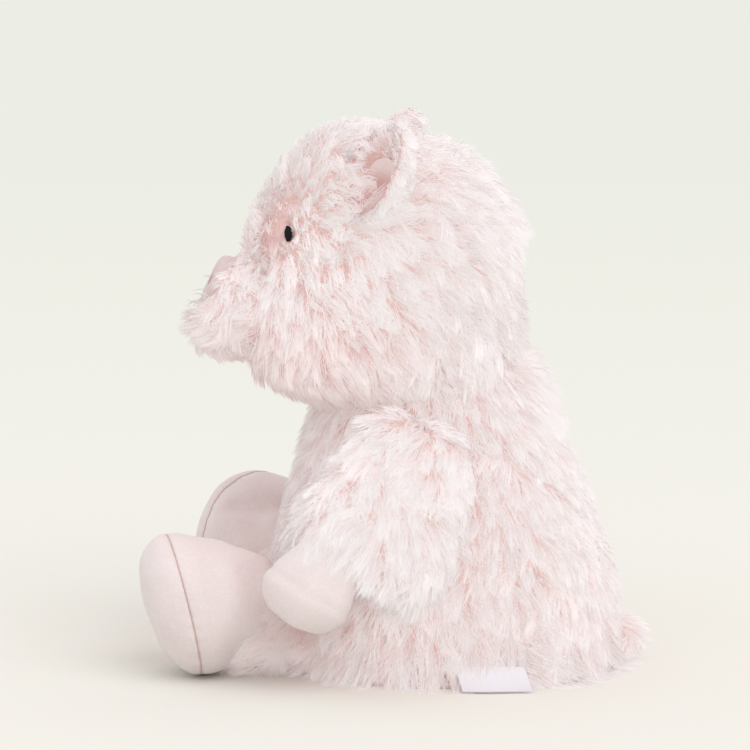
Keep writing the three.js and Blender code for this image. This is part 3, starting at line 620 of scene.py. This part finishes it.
# Muzzle: a short round trunk of the same fur, sewn into the face under the eyes. Its front is
# drawn in round the snout disc, and a tuft sticks out under the disc.
muzzle_wide = 0.096
muzzle_high = 0.070
muzzle_long = 0.032
muzzle_pile = 0.0085
disc_wide = 0.042
disc_high = 0.036
disc_thick = 0.014
disc_tilt = math.radians(25)
disc_clear = np.array((0.0215, 0.02, 0.0185))  # the muzzle's fur starts about here round the disc
seat_depth = 0.002
muzzle_gap = 0.0006
muzzle_fur_gap = 0.0012
facing = unit(np.array((0, -1, math.tan(disc_tilt))))
muzzle_tip = np.array((0, face_front[1] - muzzle_long, face_front[2] - muzzle_high * 0.12))
disc_back = muzzle_tip + np.array((0, muzzle_long * 0.92, muzzle_high * 0.14))
disc_front = disc_back + facing * disc_thick
disc_seat = disc_back + (disc_front - disc_back) * 0.55
muzzle_form = soft_form(
    [(0, -head_forward, face_front[2]), muzzle_tip], muzzle_wide, muzzle_high,
    [(0, 0), (0.9, 0.06), (1, 0.4), (0.96, 0.66), (0.82, 0.85), (0.5, 0.97), (0, 1)], rows=56, columns=88,
)
muzzle_grid, muzzle_out, _ = muzzle_form
ahead = (0, -1, 0)
head_tree = tree_over(head_backing)
muzzle_backing = muzzle_grid - muzzle_out * muzzle_pile
over = np.maximum((muzzle_backing - disc_seat) @ facing + seat_depth, 0)
muzzle_backing = muzzle_backing - over[..., None] * facing
muzzle_backing = rest_on(muzzle_backing, head_tree, ahead, muzzle_gap)
muzzle_cloth = grid_mesh("muzzle_cloth", muzzle_backing)
muzzle_cloth.data.materials.append(backing_knit)
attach(muzzle_cloth, "head")
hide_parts("muzzle")

muzzle_strands = 26000
muzzle_rise = 0.0045
muzzle_reach = 0.009
roots, out = scatter((muzzle_backing, muzzle_out), muzzle_strands, 51)
from_disc = np.linalg.norm((roots - disc_seat) / disc_clear, axis=1)
in_front = rest_on(roots, head_tree, ahead, muzzle_fur_gap)[:, 1] >= roots[:, 1] - 1e-6
keep = in_front & (from_disc > 0.92)
roots, out, from_disc = roots[keep], out[keep], from_disc[keep]
beside_disc = unit((roots - disc_seat) * np.array((1, 0, 1)))
under = eased(disc_seat[2] - roots[:, 2], -0.002, 0.014)
bottom = eased(0.200 - roots[:, 2], 0, 0.012)
beard = under * (1 - bottom)
way = np.stack([0 * under, 0.2 - 1.7 * beard + 1.4 * bottom, -0.3 - 0.5 * under], 1)
lay = along_cloth(beside_disc * (1 - 0.5 * beard)[:, None] + way, out)
long_share = eased(from_disc, 0.92, 1.7)
rise = muzzle_rise + 0.0045 * long_share - 0.002 * bottom
reach = muzzle_reach + 0.006 * long_share + 0.006 * beard
# The fur under the disc is painted more pink, as painted shade under the disc.
grow_fur("muzzle_fur", "head", roots, out, lay, rise, reach, 52, lock=0.006, sag=0.0015,
         cut=1 - 0.36 * under)

# Snout disc: a smooth short-pile disc, padded and domed, that looks up out of the muzzle. Two
# nostrils are stitched on it in dusky thread.
nostril_aside = 0.008
nostril_dimple = 0.0022
nostril_sink = 0.0029
disc_gap = 0.0005
nap_grain = 0.00055
disc_shares = [(0, 0), (0.8, 0.05), (0.97, 0.2), (1, 0.45), (0.97, 0.7), (0.82, 0.9), (0.45, 0.985), (0, 1)]
disc_grid = soft_form([disc_back, disc_front], disc_wide, disc_high, disc_shares, rows=40, columns=88)[0]
disc_grid = rest_on(disc_grid, head_tree, ahead, disc_gap)
nostril_places = {side: disc_front + np.array((sign * nostril_aside, 0, disc_high * 0.06))
                  for side, sign in sides.items()}
for place in nostril_places.values():
    drawn_in = nostril_dimple * np.exp(-((np.linalg.norm(disc_grid - place, axis=2) / 0.0050) ** 2))
    disc_grid = disc_grid - drawn_in[..., None] * facing
disc = grid_mesh("snout_disc_cover", disc_grid)
# Its plush is painted darker than the same plush of mitts and feet, as painted shade.
shaded_snout_plush = cloth_finish("snout plush", (0.69, 0.56, 0.56), nap_grain, dark=0.93, depth=0.5)
disc.data.materials.append(shaded_snout_plush)
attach(disc, "head")
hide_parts("snout_disc")


def thread_finish(name, colour):
    """Twisted thread, lighter and darker along its twist."""
    material, nodes, links, shader = new_finish(name, roughness=0.6, specular=0.2)
    place = nodes.new("ShaderNodeTexCoord")
    twist = add_node(nodes, "ShaderNodeTexNoise", Scale=2200)
    tint = colour_ramp(nodes, (0, [c * 0.7 for c in colour]), (1, [min(c * 1.3, 1) for c in colour]))
    join(links, (place, "Object", twist, "Vector"), (twist, "Fac", tint, "Fac"),
         (tint, "Color", shader, "Base Color"))
    return material


def satin_stitch(name, middle, way, tall, wide, thick, threads, colour):
    """An oval of threads laid side by side, that stands up a little in the middle."""
    middle, way = np.array(middle), unit(np.array(way, float))
    side = unit(np.cross((0, 0, 1), way))
    up = np.cross(way, side)
    thread_shares = [(0, 0), (0.8, 0.03), (1, 0.12), (1, 0.5), (1, 0.88), (0.8, 0.97), (0, 1)]
    strips = []
    for k in range(threads):
        offset = (k + 0.5) / threads * 2 - 1
        reach = tall / 2 * math.sqrt(max(1 - offset**2, 0.04))
        line = []
        for s in (-1, -0.5, 0, 0.5, 1):
            raised = thick * math.sqrt(max(1 - offset**2 - 0.8 * s * s, 0)) * 0.9
            line.append(middle + side * offset * wide / 2 + up * reach * s + way * raised)
        strips.append(soft_form(line, wide / threads * 1.3, thick * 0.9, thread_shares,
                                across=side, rows=14, columns=8)[0])
    piece = grid_mesh(name, *strips)
    piece.data.materials.append(thread_finish(name.replace("_", " ") + " thread", colour))
    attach(piece, "head")
    return piece


for side, place in nostril_places.items():
    nostril = satin_stitch(f"{side}_nostril_stitch", place - facing * nostril_sink, facing, tall=0.0076,
                           wide=0.0048, thick=0.0010, threads=8, colour=(0.50, 0.29, 0.28))
    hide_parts(f"{side}_nostril")

# Eyes: small upright ovals of black satin stitch, sewn through the head's cloth. They are sunk in
# the pile, which is trimmed round them.
for side in sides:
    eye = satin_stitch(f"{side}_eye_stitch", eye_middles[side], eye_ways[side], tall=0.0094,
                       wide=0.0076, thick=0.0016, threads=12, colour=(0.007, 0.006, 0.008))
    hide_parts(f"{side}_eye")


# Ears: a cup of fur cloth with a small smooth lining, sewn into the head's seam. The cup looks
# forward and a little outward, and its pile fans out and back over the rim.
def cup_depth(half, share):
    """How deep the cup is at its middle, where it is this wide: deep in the pocket, flat at the tip."""
    return ear_deep * (half / ear_half) ** 0.8 * (1 - 0.6 * eased(share, 0.45, 0.85))


def free_of(points, tree, way, gap):
    """Whether each point lies clear of a surface by more than the gap."""
    return np.linalg.norm(rest_on(points, tree, way, gap) - points, axis=1) < 1e-6


def fan_from(points, middle, mouth):
    """The way from an ear's low middle out to each point, square to the way its mouth looks."""
    away = points - middle
    return unit(away - mouth * (away @ mouth)[:, None])


ear_shares = [(0, 0), (0.66, 0.06), (0.98, 0.26), (0.98, 0.46), (0.80, 0.72), (0.50, 0.92), (0, 1)]
ear_rows, ear_columns = 56, 96
ear_long, ear_half, ear_deep, ear_thick = 0.056, 0.0235, 0.0125, 0.0036
ear_mouth = 0.0060  # the cup's edge lies this far ahead of the ear's middle
ear_breadth_turn = math.radians(36)
ear_inward, ear_forward, ear_upward = 0.0043, 0.0020, 0.0040  # from its place on the head
lining_wide = 0.76
ear_gap, ear_fur_gap = 0.0006, 0.0015
ear_strands = 17000
rim_strands = 5200
ear_rise = 0.0066
ear_reach = 0.0115
lining_gap = 0.0009
ear_turn = np.arange(ear_columns) / ear_columns * 2 * math.pi
ear_arc = np.abs(np.sin(ear_turn))
at_back = np.sin(ear_turn) > 0
ear_profile = smooth_line(ear_shares, ear_rows)
half_wide = np.maximum(ear_profile[:, 0], 0) * ear_half
high_share = np.maximum.accumulate(np.clip(ear_profile[:, 1], 0, 1))
lining_share = (high_share - 0.5) * 0.64 + 0.385

# The lining's plush is painted a duskier pink low in the pocket, as painted shade of the hollow, and pales
# upward.
ear_lining_plush = cloth_finish("ear lining plush", (0.86, 0.71, 0.70), nap_grain, dark=0.92,
                                depth=0.5, sheen=0.2)
nodes, links = ear_lining_plush.node_tree.nodes, ear_lining_plush.node_tree.links
shader = nodes["Principled BSDF"]
plain_tint = shader.inputs["Base Color"].links[0].from_socket
split = nodes.new("ShaderNodeSeparateXYZ")
rising = add_node(nodes, "ShaderNodeMapRange", From_Min=0.287, From_Max=0.295)
painted_pocket_shade = colour_ramp(nodes, (0, (0.77, 0.55, 0.54)), (1, (1, 1, 1)))
pocket_shaded = nodes.new("ShaderNodeVectorMath")
pocket_shaded.operation = "MULTIPLY"
links.new(plain_tint, pocket_shaded.inputs[0])
join(links, (nodes["Texture Coordinate"], "Object", split, "Vector"), (split, "Z", rising, "Value"),
     (rising, "Result", painted_pocket_shade, "Fac"), (painted_pocket_shade, "Color", pocket_shaded, 1),
     (pocket_shaded, "Vector", shader, "Base Color"))

for side, lean, root_seed, rim_seed, fur_seed in (("left", 28, 61, 65, 63), ("right", 46, 62, 66, 64)):
    sign, lean = sides[side], math.radians(lean)
    breadth = np.array((math.cos(ear_breadth_turn), sign * math.sin(ear_breadth_turn), 0))
    rise_way = np.array((0, math.sin(lean), math.cos(lean)))
    mouth = unit(np.cross(breadth, rise_way))
    ear_middle = ear_places[side] + np.array((-sign * ear_inward, -ear_forward, 0)) + rise_way * ear_upward
    edge = half_wide[:, None] * np.cos(ear_turn)
    depth = cup_depth(half_wide, high_share)[:, None]
    into = ear_mouth - (depth + np.where(at_back, ear_thick, 0) * half_wide[:, None] / ear_half) * ear_arc
    cup = (ear_middle + rise_way * ((high_share - 0.5) * ear_long)[:, None])[:, None]
    cup = cup + breadth * edge[..., None] + mouth * into[..., None]
    ear_side = unit(np.array((sign, 0, 0.6)))
    cup = rest_on(cup, head_tree, ear_side, ear_gap)
    ear_cloth = grid_mesh(f"{side}_ear_cloth", cup)
    ear_cloth.data.materials.append(backing_knit)
    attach(ear_cloth, f"{side}_ear")
    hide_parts(f"{side}_ear_back")

    lined = lining_wide * half_wide[:, None] * np.cos(ear_turn)
    half_here = np.interp(lining_share, high_share, half_wide)[:, None]
    hollow_share = np.sqrt(np.clip(1 - (lined / np.maximum(half_here, 1e-6)) ** 2, 0, 1))
    bowl = ear_mouth - cup_depth(half_here, lining_share[:, None]) * hollow_share
    bowl = bowl + 0.0005 + np.where(at_back, 0, 0.0013) * ear_arc**0.5
    inner = (ear_middle + rise_way * ((lining_share - 0.5) * ear_long)[:, None])[:, None]
    inner = inner + breadth * lined[..., None] + mouth * bowl[..., None]
    inner = rest_on(inner, head_tree, ear_side, lining_gap)
    lining = grid_mesh(f"{side}_ear_lining_cloth", inner)
    lining.data.materials.append(ear_lining_plush)
    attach(lining, f"{side}_ear")
    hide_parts(f"{side}_ear_lining")

    cup_out = unit(np.cross(np.roll(cup, -1, 1) - np.roll(cup, 1, 1), np.gradient(cup, axis=0)))
    cup_out[0], cup_out[-1] = -rise_way, rise_way
    roots, out = scatter((cup, cup_out), ear_strands, root_seed)
    across_cup = (roots - ear_middle) @ breadth
    up_cup = (roots - ear_middle) @ rise_way / ear_long + 0.5
    lined_here = np.interp(up_cup, lining_share, lining_wide * half_wide, left=0, right=0)
    in_bowl = (out @ mouth > 0.1) & (np.abs(across_cup) < lined_here - 0.0006)
    keep = ~in_bowl & free_of(roots, head_tree, ear_side, ear_fur_gap)
    roots, out = roots[keep], out[keep]
    low_middle = ear_middle - rise_way * 0.08 * ear_long
    on_front = eased(out @ mouth, -0.2, 0.5)[:, None]
    fan_out = fan_from(roots, low_middle, mouth) * (0.5 + 0.6 * on_front)
    lay = along_cloth(fan_out - mouth * (1 - 0.6 * on_front) + np.array((0, 0.1, -0.25)), out)

    dice = np.random.default_rng(rim_seed)
    rim_row = dice.uniform(3, ear_rows - 0.01, rim_strands)
    rim_column = dice.integers(0, 2, len(rim_row)) * (ear_columns // 2)
    below, part = rim_row.astype(int), (rim_row % 1)[:, None]
    rim = cup[below, rim_column] * (1 - part) + cup[np.minimum(below + 1, ear_rows), rim_column] * part
    rim = rim[free_of(rim, head_tree, ear_side, ear_fur_gap)]
    rim_out = fan_from(rim, low_middle, mouth)
    rim_way = mouth * dice.uniform(-1.0, 0.55, (len(rim), 1)) + np.array((0, 0.15, -0.35))
    rim_lay = along_cloth(rim_way, rim_out)
    rim = rim + unit(dice.normal(size=rim.shape)) * 0.0007 - rim_out * 0.0006
    roots = np.concatenate([roots, rim])
    out = np.concatenate([out, rim_out])
    lay = np.concatenate([lay, rim_lay])
    front_share = np.concatenate([on_front[:, 0], np.full(len(rim), 0.3)])
    rise = ear_rise - 0.0026 * front_share
    reach = ear_reach - 0.003 * front_share
    grow_fur(f"{side}_ear_fur", f"{side}_ear", roots, out, lay, rise, reach, fur_seed,
             lock=0.0045, tuft=0.0018, sag=0.0015)

# Arms: sleeves of the same fur, sewn to the shoulders. A smooth mitt is sewn into each cuff and
# is filled softly, so that it folds a little across the palm.
arm_long = 0.122
sleeve_wide = 0.054
sleeve_deep = 0.095
hand_long = 0.066
hand_wide = 0.036
hand_deep = 0.052
palm_fold = 0.0008
plush_lumps = 0.0006
limb_pile = 0.0098  # the cloth of arms and legs lies this far inside the outside of its pile
limb_gap = 0.0012
limb_fur_gap = 0.0020
sleeve_strands = 27000
sleeve_rise = 0.0105
sleeve_reach = 0.0165
sleeve_shares = [(0, 0), (0.62, 0.08), (0.82, 0.28), (0.95, 0.55), (1, 0.8), (0.8, 0.96), (0, 1)]
hand_shares = [(0, 0), (0.54, 0.08), (0.70, 0.3), (0.95, 0.58), (0.99, 0.76), (0.64, 0.95), (0, 1)]
smooth_plush = cloth_finish("smooth pink plush", (0.81, 0.72, 0.72), nap_grain, dark=0.92,
                            depth=0.5, sheen=0.4)
body_inner_tree = tree_over(body_backing)
for side, lean, root_seed, fur_seed in (("left", 29, 73, 78), ("right", 6, 74, 79)):
    sign, lean = sides[side], math.radians(lean)
    outward = np.array((sign, 0, 0))
    down = np.array((0, -math.sin(lean), -math.cos(lean)))
    forward = np.array((0, -math.cos(lean), math.sin(lean)))
    shoulder = np.array((sign * body_wide * 0.335, -body_wide * 0.065, body_high * 0.74))
    top = shoulder - down * arm_long * 0.12
    cuff = shoulder + down * arm_long * 0.69 + outward * body_wide * 0.175
    elbow = (shoulder + cuff) / 2 + outward * sleeve_wide * 0.14 - forward * sleeve_deep * 0.06
    sleeve_grid, sleeve_out, _ = soft_form([top, elbow, cuff], sleeve_wide, sleeve_deep, sleeve_shares,
                                           rows=56, columns=88)
    wrist = cuff - down * hand_long * 0.38 + forward * sleeve_deep * 0.135
    fingers = wrist + down * hand_long + outward * hand_wide * 0.1
    hand_grid, hand_out, _ = soft_form([wrist, fingers], hand_wide, hand_deep, hand_shares,
                                       rows=72, columns=112)
    backing = rest_on(sleeve_grid - sleeve_out * limb_pile, body_inner_tree, outward, limb_gap)
    sleeve = grid_mesh(f"{side}_sleeve_cloth", backing)
    sleeve.data.materials.append(backing_knit)
    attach(sleeve, f"{side}_arm")
    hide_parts(f"{side}_arm_sleeve")

    mitt_grid = hand_grid + hand_out * (lumps(hand_grid, 0.03, 71) * plush_lumps)[..., None]
    across_hand = (mitt_grid - wrist) @ unit(fingers - wrist) / hand_long
    fold = np.exp(-(((across_hand - 0.66 + 0.9 * ((mitt_grid - wrist) @ forward)) / 0.035) ** 2))
    mitt_grid = mitt_grid - hand_out * (fold * palm_fold)[..., None]
    mitt = grid_mesh(f"{side}_mitt", mitt_grid)
    mitt.data.materials.append(smooth_plush)
    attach(mitt, f"{side}_arm")
    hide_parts(f"{side}_hand")

    roots, out = scatter((backing, sleeve_out), sleeve_strands, root_seed)
    keep = free_of(roots, body_inner_tree, outward, limb_fur_gap)
    roots, out = roots[keep], out[keep]
    cuff_share = eased((roots - shoulder) @ down, 0.045, 0.085)
    front_share = cuff_share * eased((roots - shoulder) @ forward, -0.01, 0.03)
    lay = along_cloth(down + (wandering(roots, 0.06, 75, 0.3, 0.25, 0.3) + (0, 0, -0.35)), out)
    lay = unit(lay + forward * (0.6 * front_share)[:, None])
    reach = sleeve_reach + 0.009 * cuff_share + 0.011 * front_share
    rise = np.full(len(roots), sleeve_rise)
    grow_fur(f"{side}_sleeve_fur", f"{side}_arm", roots, out, lay, rise, reach, fur_seed)


# Legs: short fur legs that lie forward from the hips. Each ends in a bell-shaped foot of smooth
# plush, with a round sole sewn on by a fine pinched seam.
def seam_welt(name, ring, radius, around=6):
    """The fine roll of gathered cloth and thread along a seam that closes on itself."""
    heading = unit(np.roll(ring, -1, 0) - np.roll(ring, 1, 0))
    out = unit(ring - ring.mean(0))
    side = unit(np.cross(heading, out))
    count = len(ring)
    corners, faces = [], []
    for k in range(around):
        angle = k / around * 2 * math.pi
        corners.append(ring + radius * (out * math.cos(angle) + side * math.sin(angle)))
        for c in range(count):
            d, a, b = (c + 1) % count, k * count, (k + 1) % around * count
            faces.append((a + c, a + d, b + d, b + c))
    return mesh_piece(name, np.concatenate(corners), faces)


leg_long = 0.091
leg_wide = 0.062
leg_high = 0.060
hip_height = 0.0306
foot_long = 0.076
foot_wide = 0.080
foot_high = 0.082
foot_height = 0.0416  # of the foot's middle line
foot_columns = 160
heel_to_toe = 0.074
sole_seam = 0.70  # as a share of the foot's length
seam_radius = 0.00034
seam_pinch, seam_pucker = 0.0008, 0.0004
pressed_fold = 0.0034
pressed_height = 0.071
leg_strands = 12000
leg_rise = 0.0095
leg_reach = 0.017
leg_floor = 0.0022
leg_fur_floor = 0.0035
foot_overlap = 0.012  # the leg's fur ends this far past the heel
foot_floor = 0.0008
leg_shares = [(0, 0), (0.75, 0.08), (0.95, 0.3), (1, 0.6), (0.9, 0.88), (0.6, 0.98), (0, 1)]
foot_shares = [(0, 0), (0.5, 0.02), (0.68, 0.14), (0.85, 0.34), (0.96, 0.52), (1, 0.66), (0.94, 0.82),
               (0.68, 0.95), (0.32, 0.992), (0, 1)]
seam_pink = cloth_finish("gathered seam", (0.66, 0.44, 0.42), 0.0004, dark=0.85)
for side, splay, raised, sole_lean, root_seed, fur_seed in (
        ("left", 9, 0, 0.22, 83, 87), ("right", 50, 5, 0, 84, 88)):
    sign, splay = sides[side], math.radians(splay)
    heading = unit(np.array((sign * math.sin(splay), -math.cos(splay), math.tan(math.radians(raised)))))
    across = np.array((math.cos(splay), sign * math.sin(splay), 0))
    hip = np.array((sign * body_wide * 0.205, -body_wide * 0.225, hip_height))
    ankle = hip + heading * leg_long * 0.8
    leg_grid, leg_out, _ = soft_form([hip - heading * leg_long * 0.2, ankle], leg_wide, leg_high, leg_shares,
                                     across=across, rows=48, columns=80)
    heel = ankle - heading * foot_long * 0.3
    heel[2] = foot_height
    toe = heel + heading * heel_to_toe
    behind = heading * np.array((1, 1, 0))
    backing = leg_grid - leg_out * limb_pile
    backing[..., 2] = np.maximum(backing[..., 2], leg_floor)
    backing = rest_on(backing, body_inner_tree, behind, limb_gap)
    leg = grid_mesh(f"{side}_leg_cloth", backing)
    leg.data.materials.append(backing_knit)
    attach(leg, f"{side}_leg")
    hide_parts(f"{side}_leg")

    foot_grid, foot_out, foot_along = soft_form([heel, toe], foot_wide, foot_high, foot_shares,
                                                across=across, rows=120, columns=foot_columns)
    lean = sole_lean * eased(foot_along, 0.2, 0.65)[:, None]
    foot_grid = foot_grid + heading * ((foot_grid[..., 2] - (heel[2] + toe[2]) / 2) * lean)[..., None]
    from_seam = np.abs((foot_along - sole_seam) * foot_long)[:, None]
    turn = np.arange(foot_columns) / foot_columns * 2 * math.pi
    puckers = np.sin(turn * 41 + 2 * np.sin(turn * 3)) * np.sin(turn * 17 + 1)
    pinch = seam_pinch * np.exp(-from_seam / 0.0016)
    pinch = pinch + seam_pucker * np.exp(-from_seam / 0.006) * (1 + puckers[None])
    if side == "right":
        pressed = pressed_fold * np.exp(-(((foot_grid[..., 2] - pressed_height) / 0.0045) ** 2))
        pinch = pinch + pressed * eased(0.62 - foot_along, 0, 0.15)[:, None]
    foot_grid = foot_grid - foot_out * pinch[..., None]
    foot_grid = foot_grid + foot_out * (lumps(foot_grid, 0.03, 81) * plush_lumps)[..., None]
    foot_grid[..., 2] = np.maximum(foot_grid[..., 2], foot_floor)
    seam_row = int((foot_along < sole_seam).sum())
    ring = foot_grid[seam_row : seam_row + 1]
    seam = ring.mean(1, keepdims=True)
    closing = [seam + (ring - seam) * share for share in (0.985, 0.5, 0)]
    upper = np.concatenate([foot_grid[: seam_row + 1], *closing])
    sole = np.concatenate([*closing[::-1], foot_grid[seam_row:]])
    seam_line = seam_welt(f"{side}_foot_seam", ring[0], seam_radius)
    seam_line.data.materials.append(seam_pink)
    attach(seam_line, f"{side}_leg")
    for part, grid in (("upper", upper), ("sole", sole)):
        piece = grid_mesh(f"{side}_foot_{part}_cover", grid)
        piece.data.materials.append(smooth_plush)
        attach(piece, f"{side}_leg")
        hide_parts(f"{side}_foot_{part}")

    roots, out = scatter((backing, leg_out), leg_strands, root_seed)
    in_foot = (roots - heel) @ heading > foot_overlap
    keep = free_of(roots, body_inner_tree, behind, limb_fur_gap) & (roots[:, 2] > leg_fur_floor) & ~in_foot
    roots, out = roots[keep], out[keep]
    lay = along_cloth(heading + (wandering(roots, 0.05, 85, 0.6, 0.6) + (0, 0, -0.5)), out)
    at_ankle = eased((roots - heel) @ heading, -0.030, 0.008)
    at_floor = at_ankle * eased(0.034 - roots[:, 2], 0, 0.02)
    rise = leg_rise + 0.002 * at_ankle
    reach = leg_reach + 0.008 * at_ankle + 0.012 * at_floor
    # The leg fur is painted more pink all over, most in random streaks, as painted warm shade near the floor.
    grow_fur(f"{side}_leg_fur", f"{side}_leg", roots, out, lay, rise, reach, fur_seed,
             cut=0.66 - 0.34 * eased(lumps(roots, 0.016, 89), 0.0, 1.1))

# Tail: a short tuft of fur, stuffed lightly and sewn on at the rump. It is soft enough to lie on
# the floor.
tail_long = 0.034
tail_wide = 0.038
tail_pile = 0.0070
tail_strands = 8000
tail_rise = 0.0062
tail_reach = 0.016
tail_fur_floor = 0.003
backward = (0, 1, 0)
tail_root = on_form(body_form, 0.14, 0.25)
tail_start = tail_root + np.array((0, -tail_long * 0.3, 0))
tail_end = tail_root + np.array((0, tail_long * 0.36, -tail_long * 0.36))
tail_grid, tail_out, _ = soft_form(
    [tail_start, tail_root, tail_end], tail_wide, tail_wide,
    [(0, 0), (0.8, 0.08), (1, 0.4), (0.8, 0.75), (0.4, 0.95), (0, 1)], rows=40, columns=64)
tail_backing = tail_grid - tail_out * tail_pile
tail_backing[..., 2] = np.maximum(tail_backing[..., 2], leg_floor)
tail_backing = rest_on(tail_backing, body_inner_tree, backward, limb_gap)
tail = grid_mesh("tail_cloth", tail_backing)
tail.data.materials.append(backing_knit)
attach(tail, "tail")
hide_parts("tail")
roots, out = scatter((tail_backing, tail_out), tail_strands, 91)
keep = free_of(roots, body_inner_tree, backward, limb_fur_gap) & (roots[:, 2] > tail_fur_floor)
roots, out = roots[keep], out[keep]
lay = along_cloth(wandering(roots, 0.03, 92, 0.5) + (0, 0.1, -1.0), out)
rise = np.full(len(roots), tail_rise)
reach = np.full(len(roots), tail_reach)
grow_fur("tail_fur", "tail", roots, out, lay, rise, reach, 93, cut=0.92)


# Label: a plain strip of white woven ribbon, caught in the seam at the base's left edge. It
# stands out of the fur and bends down to the floor.
def slab_faces(rows, columns):
    """The faces of a thin sheet: a grid above, the same grid below, and a wall round the edge."""
    faces, half = [], rows * columns
    for r in range(rows - 1):
        for c in range(columns - 1):
            a = r * columns + c
            faces.append((a, a + 1, a + columns + 1, a + columns))
            faces.append((half + a, half + a + columns, half + a + columns + 1, half + a + 1))
    for c in range(columns - 1):
        faces.append((c, half + c, half + c + 1, c + 1))
        a = (rows - 1) * columns + c
        faces.append((a, a + 1, half + a + 1, half + a))
    for r in range(rows - 1):
        a, b = r * columns, r * columns + columns - 1
        faces.append((a, a + columns, half + a + columns, half + a))
        faces.append((b, half + b, half + b + columns, b + columns))
    return faces


label_long = 0.040
label_half_thick = 0.0002
label_shear = 0.0050
label_forward = 0.003
label_wave = 0.0007
label_bulge = np.array((0.0072, -0.0032))  # outward and up, at the middle of its bend
label_end = np.array((0.0088, -0.0128))
label_rows, label_columns = 24, 60
label_root = on_form(body_form, 0.16, 0.047) + np.array((0.0006, 0, 0))
bend = np.linspace(0, 1, label_rows)[:, None]
edge = 2 * bend * (1 - bend) * label_bulge + bend**2 * label_end
strip = np.zeros((label_rows, label_columns, 3))
strip[..., 0] = label_root[0] + edge[:, :1]
strip[..., 1] = label_root[1] - label_forward
strip[..., 1] += np.linspace(-label_long / 2, label_long / 2, label_columns)[None]
strip[..., 2] = label_root[2] + edge[:, 1:]
strip[..., 1] += label_shear * bend
strip[..., 0] += label_wave * bend * np.sin(np.linspace(0, 5, label_columns))[None]
run = unit(np.gradient(strip, axis=0))
label_out = unit(np.cross(np.gradient(strip, axis=1), run)) * label_half_thick
corners = np.concatenate([(strip + label_out).reshape(-1, 3), (strip - label_out).reshape(-1, 3)])
label = mesh_piece("label_strip", corners, slab_faces(label_rows, label_columns))
ribbon, nodes, links, shader = new_finish("white woven ribbon", roughness=0.6)
place = nodes.new("ShaderNodeTexCoord")
weave = add_node(nodes, "ShaderNodeTexWave", Scale=700, Distortion=1.0)
weave.bands_direction = "Y"
weave_bump = add_node(nodes, "ShaderNodeBump", Strength=0.35, Distance=0.0001)
weave_tint = colour_ramp(nodes, (0, (0.72, 0.69, 0.75)), (1, (0.80, 0.77, 0.83)))
join(links, (place, "Object", weave, "Vector"), (weave, "Fac", weave_bump, "Height"),
     (weave, "Fac", weave_tint, "Fac"), (weave_tint, "Color", shader, "Base Color"),
     (weave_bump, "Normal", shader, "Normal"))
label.data.materials.append(ribbon)
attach(label, "label")
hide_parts("label")

# Floor: one wide sheet of pale studio paper, which runs on past every edge of the picture.
# It is matt, greener and darker far off, and takes the toy's soft shadow.
floor_colour = (0.80, 0.79, 0.745)
backdrop_colour = (0.72, 0.735, 0.68)
floor_reach = 60.0
floor_corners = [(x * floor_reach, y * floor_reach, 0) for x, y in ((-1, -1), (1, -1), (1, 1), (-1, 1))]
floor = mesh_piece("floor", floor_corners, [(0, 1, 2, 3)])
paper, nodes, links, shader = new_finish("studio paper", roughness=1.0, specular=0.0)
place = nodes.new("ShaderNodeTexCoord")
split = nodes.new("ShaderNodeSeparateXYZ")
farther = add_node(nodes, "ShaderNodeMapRange", From_Min=0.3, From_Max=-2.2)
paper_tint = colour_ramp(nodes, (0, floor_colour), (1, backdrop_colour))
join(links, (place, "Object", split, "Vector"), (split, "X", farther, "Value"),
     (farther, "Result", paper_tint, "Fac"), (paper_tint, "Color", shader, "Base Color"))
floor.data.materials.append(paper)

# Light: a broad soft lamp, high up on the camera's side and toward the toy's back. A pale room
# all round lights the rest.
key = bpy.data.lights.new("key light", "SUN")
key.energy = 0.9
key.angle = math.radians(50)
key_holder = add_piece("key light", key)
key_holder.rotation_euler = Vector((0.7, 0.45, 0.95)).to_track_quat("Z", "Y").to_euler()

room = bpy.data.worlds.new("room")
room.use_nodes = True
air = room.node_tree.nodes["Background"]
air.inputs["Color"].default_value = (1.0, 0.985, 0.975, 1)
air.inputs["Strength"].default_value = 0.95
bpy.context.scene.world = room

# Camera: level with the toy's left side and a little above it. Its long lens, far off, draws the
# toy with hardly any perspective.
camera_distance = 3.0
camera_rise = math.radians(9.5)
camera_target = Vector((0, -0.0372, 0.1661))
lens = bpy.data.cameras.new("camera")
lens.lens = 246
lens.sensor_width = 36
camera = add_piece("camera", lens)
toward_camera = Vector((math.cos(camera_rise), 0, math.sin(camera_rise)))
camera.location = camera_target + toward_camera * camera_distance
camera.rotation_euler = toward_camera.to_track_quat("Z", "Y").to_euler()
bpy.context.scene.camera = camera
bpy.context.scene.view_settings.view_transform = "Standard"
